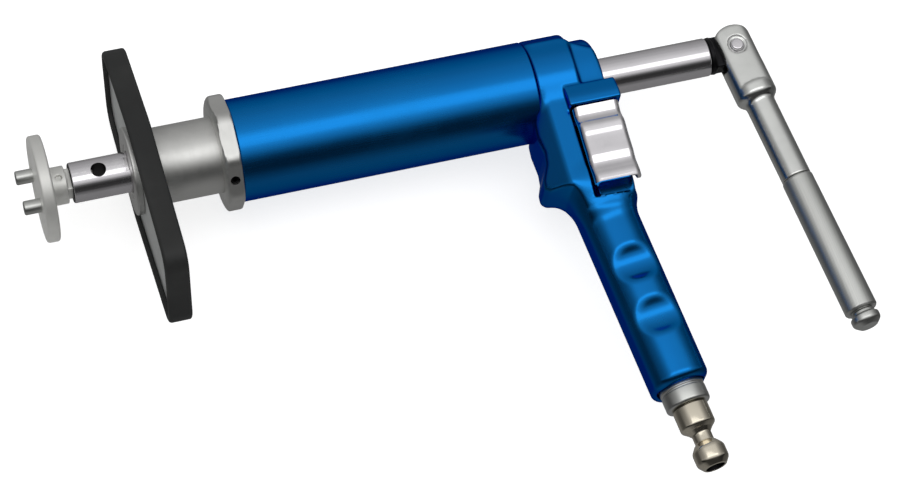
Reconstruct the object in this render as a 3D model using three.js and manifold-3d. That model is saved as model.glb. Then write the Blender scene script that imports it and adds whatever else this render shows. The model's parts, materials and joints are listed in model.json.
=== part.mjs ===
// Air-operated brake piston wind-back tool: a two-pin adaptor on a turning spindle, a reaction plate, an air
// cylinder with a pistol grip, a trigger and its valve, and a hinged winding handle behind.
//
// Frame, in millimetres: the spindle's axis is the X axis and x = 0 is the adaptor's working face, so the
// tool points along -X. The grip hangs towards -Y. The tool lies on its right side: +Z is its left, where
// the trigger is.
import * as THREE from "three";
import { mergeVertices } from "three/addons/utils/BufferGeometryUtils.js";
import Module from "manifold-3d";

const wasm = await Module();
wasm.setup();

// ---------------------------------------------------------------- driving dimensions (mm, degrees)

const RUN = 0.1; // radial clearance of a running fit
const SEAT = 0.3; // gap between faces that rest on each other
const ROUND = 28; // facets round a large turned piece
const SMALL = 16; // facets round a small one
const PAST = 1; // how far a cutting shape runs past what it cuts
const FAR = 60; // beyond the tool on any side

const ADAPTOR = {
  radius: 21.75, thickness: 5.3, chamfer: 1, bossRadius: 7.75, bossLength: 6.5, shankLength: 11,
};
const SQUARE = 9.5; // the square drive between adaptor and spindle, across its flats
const DRIVE_PIN = { radius: 2.9, proud: 7, spacing: 19, angle: 25, chamfer: 0.5, floor: 1 };
const MAGNET = { radius: 2.6, length: 3 };
const CROSS_HOLE = { radius: 3.1, fromMouth: 11.4 };

const SPINDLE = {
  radius: 8.25, mouthGap: 1.8, shown: 23.6, waistRadius: 6, waistLength: 32, chamfer: 0.8,
  lockPinShare: 0.25,
};

const PLATE = {
  up: 52.7, down: 68.4, midHalfWidth: 27.6, endHalfWidth: 20.7, corner: 9, waist: 14,
  thickness: 9.6, coreThickness: 5.4, lip: 2.6, rimCover: 1.2, turn: -17.6,
};
const NOSE_RING = { radius: 18, thickness: 2.8, proud: 0.8 };
const NOSE = { radius: 15.65, shown: 25.4, journalRadius: 13, threadRadius: 11, step: 0.4, throatGap: 0.4 };
const COLLAR = { acrossFlats: 45, sides: 8, turn: 11, length: 6.9, chamfer: 1.1 };
const SET_SCREW = { radius: 1.9, angle: 146, sunk: 0.9, keyRadius: 1.05, keyDepth: 2 };
const FRONT_BUSH = { wall: 2.15, length: 18.8, behindRing: 3.2 };
const GLAND = { length: 11.4, bushLength: 14, ringWidth: 3, shoulder: 1.2 };
const WIPER = { width: 2.2, depth: 1.5, behindRing: 0.6 };

const BARREL = { radius: 21, wall: 2.7, length: 124, chamfer: 0.6 };
const PISTON = { length: 14, fromRear: 3.1, ringFromEnd: 3, sealWidth: 2.6, wearWidth: 2, ringDepth: 2.2 };
const THRUST_WASHER = { thickness: 1.4, radius: 9.5 };
const SPRING = { wire: 1.2, coils: 9, coilRadius: 14.6 };

const REAR_SHAFT = { radius: 8, shown: 48.9, chamfer: 0.8 };
const LOCK_PIN = { radius: 1.5, sunk: 0.6 };
const HEAD = {
  spigotLength: 9, cylinderLength: 17.5, edge: 0.6, shoulder: 3.7,
  capRadius: 17.3, capLength: 11, capRound: 3.5, face: 18, nose: 12, lugFace: 14,
};
const HEAD_PLAN = { frontRound: 5, cheekRound: 6, lowRound: 4, highRound: 2 }; // the block from above
const HEAD_SIDE = {
  inset: 0.5, topDrop: 8, topShort: 3, slopeIn: 1.5, slopeTop: 6, slopeEnd: -5, front: 4.5,
  belowTrigger: 2.5, heelDown: 62, heelFront: 2,
}; // the block from the trigger's side
const FINGER_STOP = {
  down: 46.5, height: 7.3, behindGrip: 5.2, proud: 2.4, sole: 5.8, hookDown: 3.2, tipLength: 11, tipOut: 3.4,
  neckLength: 22.5, chinLength: 36.5,
};
const AIRWAY = { radius: 2, port: -14, aside: 3 };
const REAR_BUSH = { wall: 1.9, length: 18.5, fromBack: 3.4 };
const ROD_SEAL_WIDTH = 3.4;

const GRIP = {
  behindHead: 9.5, lean: 6.25, width: 23, depth: 29, corner: 11, end: 140.4, top: 46, edge: 1.2, bore: 4,
};
const SCALLOP = { radius: 9.5, depth: 3.6, pitch: 23.6, first: 88, count: 2 };
const INLET = {
  recessRadius: 10, recess: 3, threadRadius: 6.5, threadLength: 17, threadBore: 4.6,
  collarRadius: 9.2, collarLength: 9.4, collarChamfer: 1, washer: 1,
};
const PLUG = {
  threadLength: 12, bodyRadius: 7.3, bodyLength: 12, taper: 4.5, neckRadius: 4, neckLength: 4,
  bulbRadius: 6.8, bulbRise: 3, length: 26.6, bore: 2.6, mouthRadius: 4,
};

const TRIGGER = {
  width: 19.4, top: 20.3, length: 34.3, sheet: 1.5, offset: 11, flange: 9, room: 0.8, end: 2.2, runOut: 4,
  lip: 4.5,
};
// The trigger's pressed face in side view, as [down from its top, out from the head's face]: a curl, a
// finger hollow and a crown. The lip follows at its end.
const TRIGGER_FACE = [
  [0, 1.6], [3, 0.7], [6.5, 1.2], [10, 3.6], [14, 4.3], [23.5, 4], [27, 2.6], [30.5, 2.8],
];
const TRIGGER_PIN = { radius: 1.5, down: 23.6, out: 12, proud: 0.3, seatDepth: 15 };
const HOOD = {
  top: 9, rise: 12, edge: 19.5, out: 22.5, slope: 1.5, left: 0.9, right: 1.4, edgeRound: 1, riseRound: 2,
};
const VALVE = {
  down: 42, boreRadius: 5.1, stemRadius: 1.9, headRadius: 4.2, headLength: 1.8, bushLength: 7.6,
  sealWidth: 1.6, tailRadius: 1.4, tailLength: 4.5, tip: 0.4, aboveFace: 2.5,
};
const VALVE_SPRING = { wire: 0.4, radius: 2.8, coils: 5 };
const VALVE_CAP = { plug: 8, headRadius: 6.6, proud: 1.6, edge: 0.6, keyRadius: 2.3, keyDepth: 1.2 };

const KNUCKLE = {
  radius: 7.7, shoulder: 2, tang: 7, tangRadius: 7.8, tangTaper: 1.2, shankRadius: 4.7, shankLength: 12,
};
const HINGE = { behindShaft: 12.5, pinRadius: 2.75, pinProud: 0.2, pinChamfer: 0.4, gap: 0.25, nose: 0.8 };
const HANDLE = {
  rest: -82.5, headRadius: 8.8, domeRadius: 9.8, flat: 7, flatEnd: 19.5, shoulder: 24, shoulderLength: 3.6,
  neckRadius: 6.3, coreRadius: 4.5, sleeveStart: 62, sleeveRadius: 6.6, sleeveEndRadius: 6.9, chamfer: 0.4,
  capLength: 7, capChamfer: 1.2, capRound: 3.4, length: 132,
};

// ---------------------------------------------------------------- places worked out from them (mm)

const rad = THREE.MathUtils.degToRad;
const bossEnd = ADAPTOR.thickness + ADAPTOR.bossLength;
const spindleFront = bossEnd + SPINDLE.mouthGap;
const ringFront = spindleFront + SPINDLE.shown;
const rimFront = ringFront + NOSE_RING.proud;
const rimBack = rimFront + PLATE.thickness;
const coreFront = rimFront + (PLATE.thickness - PLATE.coreThickness) / 2;
const coreBack = coreFront + PLATE.coreThickness;
const collarFront = rimBack + NOSE.shown;
const barrelFront = collarFront + COLLAR.length + SEAT;
const barrelRear = barrelFront + BARREL.length;
const bore = BARREL.radius - BARREL.wall;
const headFront = barrelRear + SEAT;
const spigotFront = headFront - HEAD.spigotLength;
const pistonBack = spigotFront - PISTON.fromRear;
const pistonFront = pistonBack - PISTON.length;
const glandFront = barrelFront + SEAT;
const glandBack = glandFront + GLAND.length;
const waistFront = pistonFront - THRUST_WASHER.thickness - 2 * RUN;
const rearShaftFront = pistonBack + THRUST_WASHER.thickness + 2 * RUN;
const headCylinderBack = headFront + HEAD.cylinderLength;
const headBack = headCylinderBack + HEAD.capLength;
const rearShaftBack = headBack + REAR_SHAFT.shown;
const hingeX = rearShaftBack + HINGE.behindShaft;
const gripX = headFront + GRIP.behindHead; // where the grip's centre line crosses the spindle's axis
const triggerX = gripX + TRIGGER.offset; // the trigger's middle
const sideX = triggerX + TRIGGER.width / 2 - TRIGGER.sheet - SEAT; // the head's side beside the trigger

// ---------------------------------------------------------------- finishes

const FINISH = {
  blue: { color: 0x1565b5, roughness: 0.35, metalness: 0.85 },
  aluminium: { color: 0xb5b5b3, roughness: 0.42, metalness: 0.9 },
  pale: { color: 0xc8c8c4, roughness: 0.45, metalness: 0.7 },
  steel: { color: 0xc4c4c6, roughness: 0.18, metalness: 1 },
  satin: { color: 0xa0a2a0, roughness: 0.4, metalness: 0.95 },
  chrome: { color: 0xd8d8da, roughness: 0.1, metalness: 1 },
  nickel: { color: 0xb0a890, roughness: 0.25, metalness: 1 },
  black: { color: 0x1c1c1e, roughness: 0.5, metalness: 0.6 },
  plateGrey: { color: 0x9a9c9c, roughness: 0.45, metalness: 0.8 },
  rubber: { color: 0x2a2c2c, roughness: 0.7, metalness: 0 },
  bronze: { color: 0x9c7a3c, roughness: 0.45, metalness: 0.9 },
  seal: { color: 0x151515, roughness: 0.8, metalness: 0 },
};

// ---------------------------------------------------------------- solids

// A closed geometry as a solid that can be joined and cut.
function solid(geometry) {
  const bare = geometry.clone();
  bare.deleteAttribute("normal");
  bare.deleteAttribute("uv");
  const merged = mergeVertices(bare, 1e-4);
  const corners = merged.index.array;
  const kept = [];
  for (let i = 0; i < corners.length; i += 3) {
    const [a, b, c] = [corners[i], corners[i + 1], corners[i + 2]];
    if (a !== b && b !== c && c !== a) kept.push(a, b, c);
  }
  const vertProperties = new Float32Array(merged.attributes.position.array);
  return new wasm.Manifold(new wasm.Mesh({ numProp: 3, vertProperties, triVerts: new Uint32Array(kept) }));
}

// The solid's surface as a geometry again.
function surface(body) {
  const { vertProperties, triVerts, numProp } = body.getMesh();
  const geometry = new THREE.BufferGeometry();
  const places = new Float32Array((vertProperties.length / numProp) * 3);
  for (let i = 0; i < places.length / 3; i += 1) {
    for (let k = 0; k < 3; k += 1) places[3 * i + k] = vertProperties[numProp * i + k];
  }
  geometry.setAttribute("position", new THREE.BufferAttribute(places, 3));
  geometry.setIndex(new THREE.BufferAttribute(new Uint32Array(triVerts), 1));
  return geometry;
}

function cutAll(body, tools) {
  return tools.reduce((rest, tool) => rest.subtract(tool), body);
}

// A piece turned about the X axis. The closed profile is a list of [x, radius], up the outside from the
// front and back along the bore or the axis.
function turned(profile, facets = ROUND) {
  const points = profile.map(([x, r]) => new THREE.Vector2(r, x));
  points.push(points[0].clone());
  return new THREE.LatheGeometry(points, facets).rotateZ(-Math.PI / 2);
}

function rod(from, to, radius, facets = SMALL) {
  return turned([[from, 0], [from, radius], [to, radius], [to, 0]], facets);
}

// A rod whose two ends have a chamfer.
function pin(from, to, radius, chamfer, facets = SMALL) {
  const thin = radius - chamfer;
  return turned([
    [from, 0], [from, thin], [from + chamfer, radius], [to - chamfer, radius], [to, thin], [to, 0],
  ], facets);
}

function ring(from, to, inner, outer, facets = ROUND) {
  return turned([[from, inner], [from, outer], [to, outer], [to, inner]], facets);
}

function block(x0, x1, y0, y1, z0, z1) {
  const box = new THREE.BoxGeometry(x1 - x0, y1 - y0, z1 - z0);
  return box.translate((x0 + x1) / 2, (y0 + y1) / 2, (z0 + z1) / 2);
}

// Turns a geometry made along X so that it lies along Y or Z.
const alongY = (geometry) => geometry.rotateZ(Math.PI / 2);
const alongZ = (geometry) => geometry.rotateY(-Math.PI / 2);

// A closed outline through the corners, each [x, y, rounding]: rounding is how far the round starts from it.
function outline(corners) {
  const shape = new THREE.Shape();
  corners.forEach(([x, y, round], i) => {
    const corner = new THREE.Vector2(x, y);
    const before = new THREE.Vector2(...corners.at(i - 1).slice(0, 2));
    const after = new THREE.Vector2(...corners[(i + 1) % corners.length].slice(0, 2));
    const start = corner.clone().add(before.sub(corner).setLength(round));
    const end = corner.clone().add(after.sub(corner).setLength(round));
    if (i === 0) shape.moveTo(start.x, start.y);
    else shape.lineTo(start.x, start.y);
    if (round > 0) shape.quadraticCurveTo(x, y, end.x, end.y);
  });
  shape.closePath();
  return shape;
}

// The outline as a slab from z0 to z1, its edges bevelled in by the given amount.
function slab(shape, z0, z1, bevel = 0, steps = 4) {
  const settings = {
    depth: z1 - z0 - 2 * bevel, curveSegments: steps, bevelEnabled: bevel > 0,
    bevelThickness: bevel, bevelSize: bevel, bevelOffset: -bevel, bevelSegments: 1,
  };
  return new THREE.ExtrudeGeometry(shape, settings).translate(0, 0, z0 + bevel);
}

// A wire wound round the X axis.
class Helix extends THREE.Curve {
  constructor(from, to, radius, coils) {
    super();
    Object.assign(this, { from, to, radius, coils });
  }

  getPoint(t, target = new THREE.Vector3()) {
    const angle = 2 * Math.PI * this.coils * t;
    const x = this.from + (this.to - this.from) * t;
    return target.set(x, this.radius * Math.cos(angle), this.radius * Math.sin(angle));
  }
}

function coilSpring(from, to, radius, wire, coils) {
  const sides = 5;
  const corners = Array.from({ length: sides }, (_, i) => {
    const angle = (2 * Math.PI * i) / sides;
    return new THREE.Vector2(wire * Math.cos(angle), wire * Math.sin(angle));
  });
  const path = new Helix(from + wire, to - wire, radius, coils);
  const settings = { steps: coils * 10, bevelEnabled: false, extrudePath: path };
  return new THREE.ExtrudeGeometry(new THREE.Shape(corners), settings);
}

// ---------------------------------------------------------------- the scene graph

const tool = new THREE.Group();

function add(parent, name, shape, finish) {
  const body = shape.isBufferGeometry ? solid(shape) : shape;
  const mesh = new THREE.Mesh(surface(body), new THREE.MeshStandardMaterial(FINISH[finish]));
  mesh.name = name;
  parent.add(mesh);
}

// ---------------------------------------------------------------- adaptor

// Where the two drive pins stand on the adaptor, as [y, z].
function drivePinPlaces() {
  const reach = DRIVE_PIN.spacing / 2;
  const across = [Math.cos(rad(DRIVE_PIN.angle)) * reach, -Math.sin(rad(DRIVE_PIN.angle)) * reach];
  return { upper: across, lower: across.map((v) => -v) };
}

function buildAdaptor() {
  const { radius, thickness, chamfer, bossRadius, shankLength } = ADAPTOR;
  const disc = solid(turned([
    [0, 0], [0, radius - chamfer], [chamfer, radius], [thickness - chamfer, radius],
    [thickness, radius - chamfer], [thickness, bossRadius], [bossEnd, bossRadius], [bossEnd, 0],
  ]));
  const half = SQUARE / 2;
  const shankEnd = bossEnd + shankLength;
  const shank = solid(block(bossEnd - PAST, shankEnd, -half, half, -half, half));
  const cuts = [solid(rod(shankEnd - MAGNET.length - RUN, shankEnd + PAST, MAGNET.radius + RUN))];
  const pinSeat = thickness - DRIVE_PIN.floor;
  for (const [y, z] of Object.values(drivePinPlaces())) {
    cuts.push(solid(rod(-PAST, pinSeat + RUN, DRIVE_PIN.radius + RUN).translate(0, y, z)));
  }
  add(tool, "adaptor_disc", cutAll(disc.add(shank), cuts), "pale");

  for (const [name, [y, z]] of Object.entries(drivePinPlaces())) {
    const drivePin = pin(-DRIVE_PIN.proud, pinSeat, DRIVE_PIN.radius, DRIVE_PIN.chamfer);
    add(tool, `drive_pin_${name}`, drivePin.translate(0, y, z), "satin");
  }

  add(tool, "adaptor_magnet", rod(shankEnd - MAGNET.length, shankEnd, MAGNET.radius), "nickel");
}

// ---------------------------------------------------------------- spindle, rear shaft and knuckle

function buildSpindle() {
  const { radius, chamfer, waistRadius, waistLength } = SPINDLE;
  const body = solid(turned([
    [spindleFront, 0], [spindleFront, radius - chamfer], [spindleFront + chamfer, radius],
    [waistFront, radius], [waistFront, waistRadius], [waistFront + waistLength, waistRadius],
    [waistFront + waistLength, 0],
  ]));
  const half = SQUARE / 2 + RUN;
  const socketDepth = ADAPTOR.shankLength - SPINDLE.mouthGap + SEAT;
  const socket = solid(block(spindleFront - PAST, spindleFront + socketDepth, -half, half, -half, half));
  const crossHole = alongZ(rod(-radius - PAST, radius + PAST, CROSS_HOLE.radius));
  const holeX = spindleFront + CROSS_HOLE.fromMouth;
  const lockX = rearShaftFront + SPINDLE.lockPinShare * waistLength;
  const lockHole = alongY(rod(-FAR, FAR, LOCK_PIN.radius + RUN)).translate(lockX, 0, 0);
  const holes = [socket, solid(crossHole.translate(holeX, 0, 0)), solid(lockHole)];
  add(tool, "spindle", cutAll(body, holes), "steel");

  const outer = REAR_SHAFT.radius;
  const shaft = solid(turned([
    [rearShaftFront, 0], [rearShaftFront, outer], [rearShaftBack - REAR_SHAFT.chamfer, outer],
    [rearShaftBack, outer - REAR_SHAFT.chamfer], [rearShaftBack, 0],
  ]));
  const waistBack = waistFront + waistLength;
  const shankFront = rearShaftBack - KNUCKLE.shankLength - SEAT;
  const cuts = [
    solid(rod(rearShaftFront - PAST, waistBack + PAST, waistRadius + RUN, ROUND)),
    solid(rod(shankFront, rearShaftBack + PAST, KNUCKLE.shankRadius + RUN, ROUND)),
    solid(lockHole),
  ];
  add(tool, "rear_shaft", cutAll(shaft, cuts), "steel");

  const lockLength = outer - LOCK_PIN.sunk;
  const lockPin = alongY(rod(-lockLength, lockLength, LOCK_PIN.radius)).translate(lockX, 0, 0);
  add(tool, "shaft_lock_pin", lockPin, "satin");
}

function buildKnuckle() {
  const shoulderFront = rearShaftBack + SEAT;
  const shoulderBack = shoulderFront + KNUCKLE.shoulder;
  const turnedPart = solid(turned([
    [rearShaftBack - KNUCKLE.shankLength, 0], [rearShaftBack - KNUCKLE.shankLength, KNUCKLE.shankRadius],
    [shoulderFront, KNUCKLE.shankRadius], [shoulderFront, KNUCKLE.radius], [shoulderBack, KNUCKLE.radius],
    [shoulderBack, 0],
  ]));
  const tangShape = new THREE.Shape();
  const { tang: thickness, tangRadius, tangTaper } = KNUCKLE;
  tangShape.moveTo(shoulderBack - PAST, tangTaper - tangRadius);
  tangShape.absarc(hingeX, 0, tangRadius, -Math.PI / 2, Math.PI / 2, false);
  tangShape.lineTo(shoulderBack - PAST, tangRadius - tangTaper);
  tangShape.closePath();
  const tang = solid(slab(tangShape, -thickness / 2, thickness / 2, 0, SMALL));
  const eye = solid(alongZ(rod(-thickness, thickness, HINGE.pinRadius + RUN)).translate(hingeX, 0, 0));
  add(tool, "swivel_knuckle", turnedPart.add(tang).subtract(eye), "black");
}

// ---------------------------------------------------------------- reaction plate and nose

// The plate's long outline, drawn in by the given amount. Its first axis is across, its second along.
function plateOutline(inset) {
  const { up, down, midHalfWidth: mid, endHalfWidth: end, corner, waist } = PLATE;
  const round = corner - inset / 2;
  return outline([
    [mid - inset, 0, waist], [end - inset, up - inset, round], [-end + inset, up - inset, round],
    [-mid + inset, 0, waist], [-end + inset, -down + inset, round], [end - inset, -down + inset, round],
  ]);
}

// The drawn plate stood up across the X axis, from x0 to x1.
function plateSlab(inset, x0, x1) {
  const flat = slab(plateOutline(inset), -x1, -x0);
  const stand = new THREE.Matrix4().makeBasis(
    new THREE.Vector3(0, 0, 1), new THREE.Vector3(0, 1, 0), new THREE.Vector3(-1, 0, 0));
  return flat.applyMatrix4(stand);
}

function buildPlate() {
  const plate = new THREE.Group();
  plate.rotation.x = rad(PLATE.turn);
  tool.add(plate);
  const core = solid(plateSlab(PLATE.rimCover + RUN, coreFront, coreBack));
  const hole = solid(rod(coreFront - PAST, coreBack + PAST, NOSE.journalRadius + RUN, ROUND));
  add(plate, "plate_core", core.subtract(hole), "plateGrey");

  const rim = solid(plateSlab(0, rimFront, rimBack));
  const window = solid(plateSlab(PLATE.lip, rimFront - PAST, rimBack + PAST));
  const channel = solid(plateSlab(PLATE.rimCover, coreFront - RUN, coreBack + RUN));
  add(plate, "plate_rim", cutAll(rim, [window, channel]), "rubber");
}

function buildNose() {
  const ringBack = ringFront + NOSE_RING.thickness;
  const noseFront = ringFront + NOSE.step;
  const frontBushX = ringBack + FRONT_BUSH.behindRing;
  const frontBushEnd = frontBushX + FRONT_BUSH.length;
  const bushRadius = SPINDLE.radius + RUN + FRONT_BUSH.wall;
  const innerBushX = glandBack - GLAND.ringWidth - GLAND.bushLength - GLAND.shoulder;
  const glandRadius = bore - RUN / 2;
  const throat = SPINDLE.radius + NOSE.throatGap;
  const wiperX = ringBack + WIPER.behindRing;
  const grooveX = glandFront + GLAND.length / 2 - GLAND.ringWidth / 2;
  const grooveRadius = glandRadius - PISTON.ringDepth;
  const body = solid(turned([
    [noseFront, throat], [noseFront, NOSE.threadRadius], [ringBack + RUN, NOSE.threadRadius],
    [ringBack + RUN, NOSE.journalRadius], [coreBack + RUN, NOSE.journalRadius],
    [coreBack + RUN, NOSE.radius], [glandFront, NOSE.radius], [glandFront, glandRadius],
    [grooveX, glandRadius], [grooveX, grooveRadius], [grooveX + GLAND.ringWidth, grooveRadius],
    [grooveX + GLAND.ringWidth, glandRadius], [glandBack, glandRadius], [glandBack, bushRadius + RUN],
    [innerBushX, bushRadius + RUN], [innerBushX, throat], [frontBushEnd + RUN, throat],
    [frontBushEnd + RUN, bushRadius + RUN], [frontBushX, bushRadius + RUN], [frontBushX, throat],
    [wiperX + WIPER.width, throat], [wiperX + WIPER.width, throat + WIPER.depth],
    [wiperX, throat + WIPER.depth], [wiperX, throat],
  ]));
  add(tool, "nose_tube", body, "aluminium");
  add(tool, "nose_ring", ring(ringFront, ringBack, NOSE.threadRadius + RUN, NOSE_RING.radius), "aluminium");

  const shaftFit = SPINDLE.radius + RUN;
  add(tool, "front_bush", ring(frontBushX + RUN, frontBushEnd, shaftFit, bushRadius), "bronze");
  const innerBushEnd = innerBushX + GLAND.bushLength;
  add(tool, "gland_bush", ring(innerBushX + RUN, innerBushEnd, shaftFit, bushRadius), "bronze");
  add(tool, "gland_rod_seal", ring(innerBushEnd + SEAT, glandBack - RUN, shaftFit, bushRadius), "seal");
  const wiper = ring(wiperX + RUN, wiperX + WIPER.width - RUN, shaftFit, throat + WIPER.depth - RUN);
  add(tool, "wiper_seal", wiper, "seal");
  const barrelSeal = ring(grooveX + RUN, grooveX + GLAND.ringWidth - RUN, grooveRadius + RUN, glandRadius);
  add(tool, "barrel_seal", barrelSeal, "seal");
}

function buildCollar() {
  const { acrossFlats, sides, turn, length, chamfer } = COLLAR;
  const corner = acrossFlats / 2 / Math.cos(Math.PI / sides);
  const back = collarFront + length;
  const flatUp = Math.PI / sides + rad(turn);
  const flats = solid(ring(collarFront, back, NOSE.radius + RUN, corner, sides).rotateX(flatUp));
  const rounded = solid(turned([
    [collarFront - PAST, 0], [collarFront - PAST, corner - 2 * chamfer], [collarFront, corner - 2 * chamfer],
    [collarFront + chamfer, corner - chamfer / 2], [back, corner - chamfer / 2], [back + PAST, 0],
  ]));
  const threadBore = solid(rod(collarFront - PAST, back + PAST, NOSE.radius + RUN, ROUND));
  const middle = (collarFront + back) / 2;
  const { radius, angle, sunk, keyRadius, keyDepth } = SET_SCREW;
  const outward = new THREE.Matrix4().makeRotationX(rad(angle));
  const place = (geometry) => solid(alongY(geometry).translate(middle, 0, 0).applyMatrix4(outward));
  const screwHole = place(rod(NOSE.radius - PAST, corner + PAST, radius + RUN));
  add(tool, "lock_collar", cutAll(flats.intersect(rounded), [threadBore, screwHole]), "aluminium");

  const outer = acrossFlats / 2 - sunk;
  const screw = place(rod(NOSE.radius + SEAT, outer, radius));
  const hexagon = place(rod(outer - keyDepth, outer + PAST, keyRadius, 6));
  add(tool, "collar_set_screw", screw.subtract(hexagon), "black");
}

// ---------------------------------------------------------------- cylinder and piston

function buildCylinder() {
  const { radius, chamfer } = BARREL;
  const tube = turned([
    [barrelFront, bore], [barrelFront, radius - chamfer], [barrelFront + chamfer, radius],
    [barrelRear - chamfer, radius], [barrelRear, radius - chamfer], [barrelRear, bore],
  ]);
  add(tool, "barrel", tube, "blue");
}

function buildPiston() {
  const outer = bore - RUN / 2;
  const land = outer - PISTON.ringDepth;
  const sealX = pistonFront + PISTON.ringFromEnd;
  const wearX = pistonBack - PISTON.ringFromEnd - PISTON.wearWidth;
  const inner = SPINDLE.waistRadius + RUN;
  const body = turned([
    [pistonFront, inner], [pistonFront, outer], [sealX, outer], [sealX, land],
    [sealX + PISTON.sealWidth, land], [sealX + PISTON.sealWidth, outer], [wearX, outer], [wearX, land],
    [wearX + PISTON.wearWidth, land], [wearX + PISTON.wearWidth, outer], [pistonBack, outer],
    [pistonBack, inner],
  ]);
  add(tool, "piston", body, "aluminium");
  add(tool, "piston_seal", ring(sealX + RUN, sealX + PISTON.sealWidth - RUN, land + RUN, outer), "seal");
  const wearRing = ring(wearX + RUN, wearX + PISTON.wearWidth - RUN, land + RUN, outer);
  add(tool, "piston_wear_ring", wearRing, "bronze");

  const { thickness, radius } = THRUST_WASHER;
  const frontWasher = ring(pistonFront - RUN - thickness, pistonFront - RUN, inner, radius);
  add(tool, "front_thrust_washer", frontWasher, "bronze");
  const rearWasher = ring(pistonBack + RUN, pistonBack + RUN + thickness, inner, radius);
  add(tool, "rear_thrust_washer", rearWasher, "bronze");
  const { coilRadius, wire, coils } = SPRING;
  const spring = coilSpring(glandBack + SEAT, pistonFront - SEAT, coilRadius, wire, coils);
  add(tool, "return_spring", spring, "steel");
}

// ---------------------------------------------------------------- head and grip casting

// Moves a geometry made along X onto the grip's centre line, its x now the distance from the spindle's axis.
function ontoGrip(geometry) {
  return geometry.rotateZ(rad(GRIP.lean - 90)).translate(gripX, 0, 0);
}

// The head block's side view. The finger stop is at its lower front corner.
function headOutline() {
  const { inset, topDrop, topShort, slopeIn, slopeTop, slopeEnd, heelFront, belowTrigger } = HEAD_SIDE;
  const { height, behindGrip, proud, sole, hookDown, tipLength, tipOut } = FINGER_STOP;
  const { neckLength, chinLength } = FINGER_STOP;
  const stop = -FINGER_STOP.down;
  const heel = -HEAD_SIDE.heelDown;
  const nose = spigotFront + HEAD_SIDE.front;
  const top = BARREL.radius - topDrop;
  const triggerEnd = -TRIGGER.top - TRIGGER.length;
  return outline([
    [headFront + inset, top, 2], [headCylinderBack - topShort, top, 3], [sideX - slopeIn, slopeTop, 6],
    [sideX, slopeEnd, 3], [sideX, triggerEnd - belowTrigger, 2], [gripX + GRIP.width / 2, heel, 4],
    [gripX - heelFront, heel, 3], [gripX - behindGrip, stop - height, 6],
    [nose - proud + sole, stop - hookDown, 2], [nose - proud, stop, 3],
    [nose - proud + tipOut, stop + tipLength, 6], [nose, stop + neckLength, 4],
    [headFront + inset, stop + chinLength, 6],
  ]);
}

function gripSolid() {
  const [w, d, r] = [GRIP.width / 2, GRIP.depth / 2, GRIP.corner];
  const section = outline([[d, w, r], [-d, w, r], [-d, -w, r], [d, -w, r]]);
  const bar = slab(section, GRIP.top, GRIP.end, GRIP.edge);
  const lie = new THREE.Matrix4().makeBasis(
    new THREE.Vector3(0, 0, -1), new THREE.Vector3(0, 1, 0), new THREE.Vector3(1, 0, 0));
  return solid(ontoGrip(bar.applyMatrix4(lie)));
}

// The finger hollows across the grip, on the trigger's side.
function scallops() {
  const cuts = [];
  for (let i = 0; i < SCALLOP.count; i += 1) {
    const along = (SCALLOP.first + i * SCALLOP.pitch) / Math.cos(rad(GRIP.lean));
    const out = GRIP.depth / 2 + SCALLOP.radius - SCALLOP.depth;
    const roller = alongY(rod(-GRIP.width, GRIP.width, SCALLOP.radius)).translate(along, 0, out);
    cuts.push(solid(ontoGrip(roller)));
  }
  return cuts;
}

function headSolid() {
  const { edge, shoulder, capRadius, capRound } = HEAD;
  const { radius } = BARREL;
  const spigot = bore - RUN / 2;
  return solid(turned([
    [spigotFront, 0], [spigotFront, spigot], [headFront, spigot], [headFront, radius - edge],
    [headFront + edge, radius], [headCylinderBack - shoulder, radius], [headCylinderBack, capRadius],
    [headBack - capRound, capRadius], [headBack - capRound / 3, capRadius - capRound / 3],
    [headBack, capRadius - capRound], [headBack, 0],
  ]));
}

// The ledge over the trigger's top.
function hoodSolid() {
  const { top, rise, edge, out, slope, left, right, edgeRound, riseRound } = HOOD;
  const section = outline([
    [-top, HEAD.lugFace, 0], [-edge, HEAD.lugFace, 0], [-edge, out, edgeRound],
    [-rise, out - slope, riseRound], [-top, HEAD.face - SEAT, 0],
  ]);
  const half = TRIGGER.width / 2;
  const bar = slab(section, -half - left, half + right);
  const acrossX = new THREE.Matrix4().makeBasis(
    new THREE.Vector3(0, 1, 0), new THREE.Vector3(0, 0, 1), new THREE.Vector3(1, 0, 0));
  return solid(bar.applyMatrix4(acrossX).translate(triggerX, 0, 0));
}

// The head block: its side view, rounded towards its front edge.
function headBlock() {
  const [front, back] = [spigotFront, sideX + PAST];
  const { face, nose } = HEAD;
  const { frontRound, cheekRound, lowRound, highRound } = HEAD_PLAN;
  const plan = outline([
    [front, -face + nose, frontRound], [front + nose, -face, cheekRound], [back, -face, lowRound],
    [back, face, highRound], [front + nose, face, cheekRound], [front, face - nose, frontRound],
  ]);
  const standing = slab(plan, -BARREL.radius, 2 * FAR).rotateX(Math.PI / 2);
  return solid(slab(headOutline(), -face, face)).intersect(solid(standing));
}

// The room that the trigger needs: a shallow pocket under its face, open below, and a slot for each flange.
function triggerRoom() {
  const left = triggerX - TRIGGER.width / 2;
  const end = -TRIGGER.top - TRIGGER.length;
  const lowest = end - TRIGGER.end;
  const highest = 2 * SEAT - TRIGGER.top;
  const floor = TRIGGER_PIN.out - TRIGGER.flange / 2 - TRIGGER.end;
  return [
    solid(block(left - TRIGGER.room, triggerX + FAR, end - TRIGGER.runOut, highest, HEAD.lugFace, FAR)),
    solid(block(left - TRIGGER.room, left + TRIGGER.sheet + SEAT, lowest, highest, floor, FAR)),
    solid(block(sideX, triggerX + FAR, lowest, highest, floor, FAR)),
  ];
}

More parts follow.
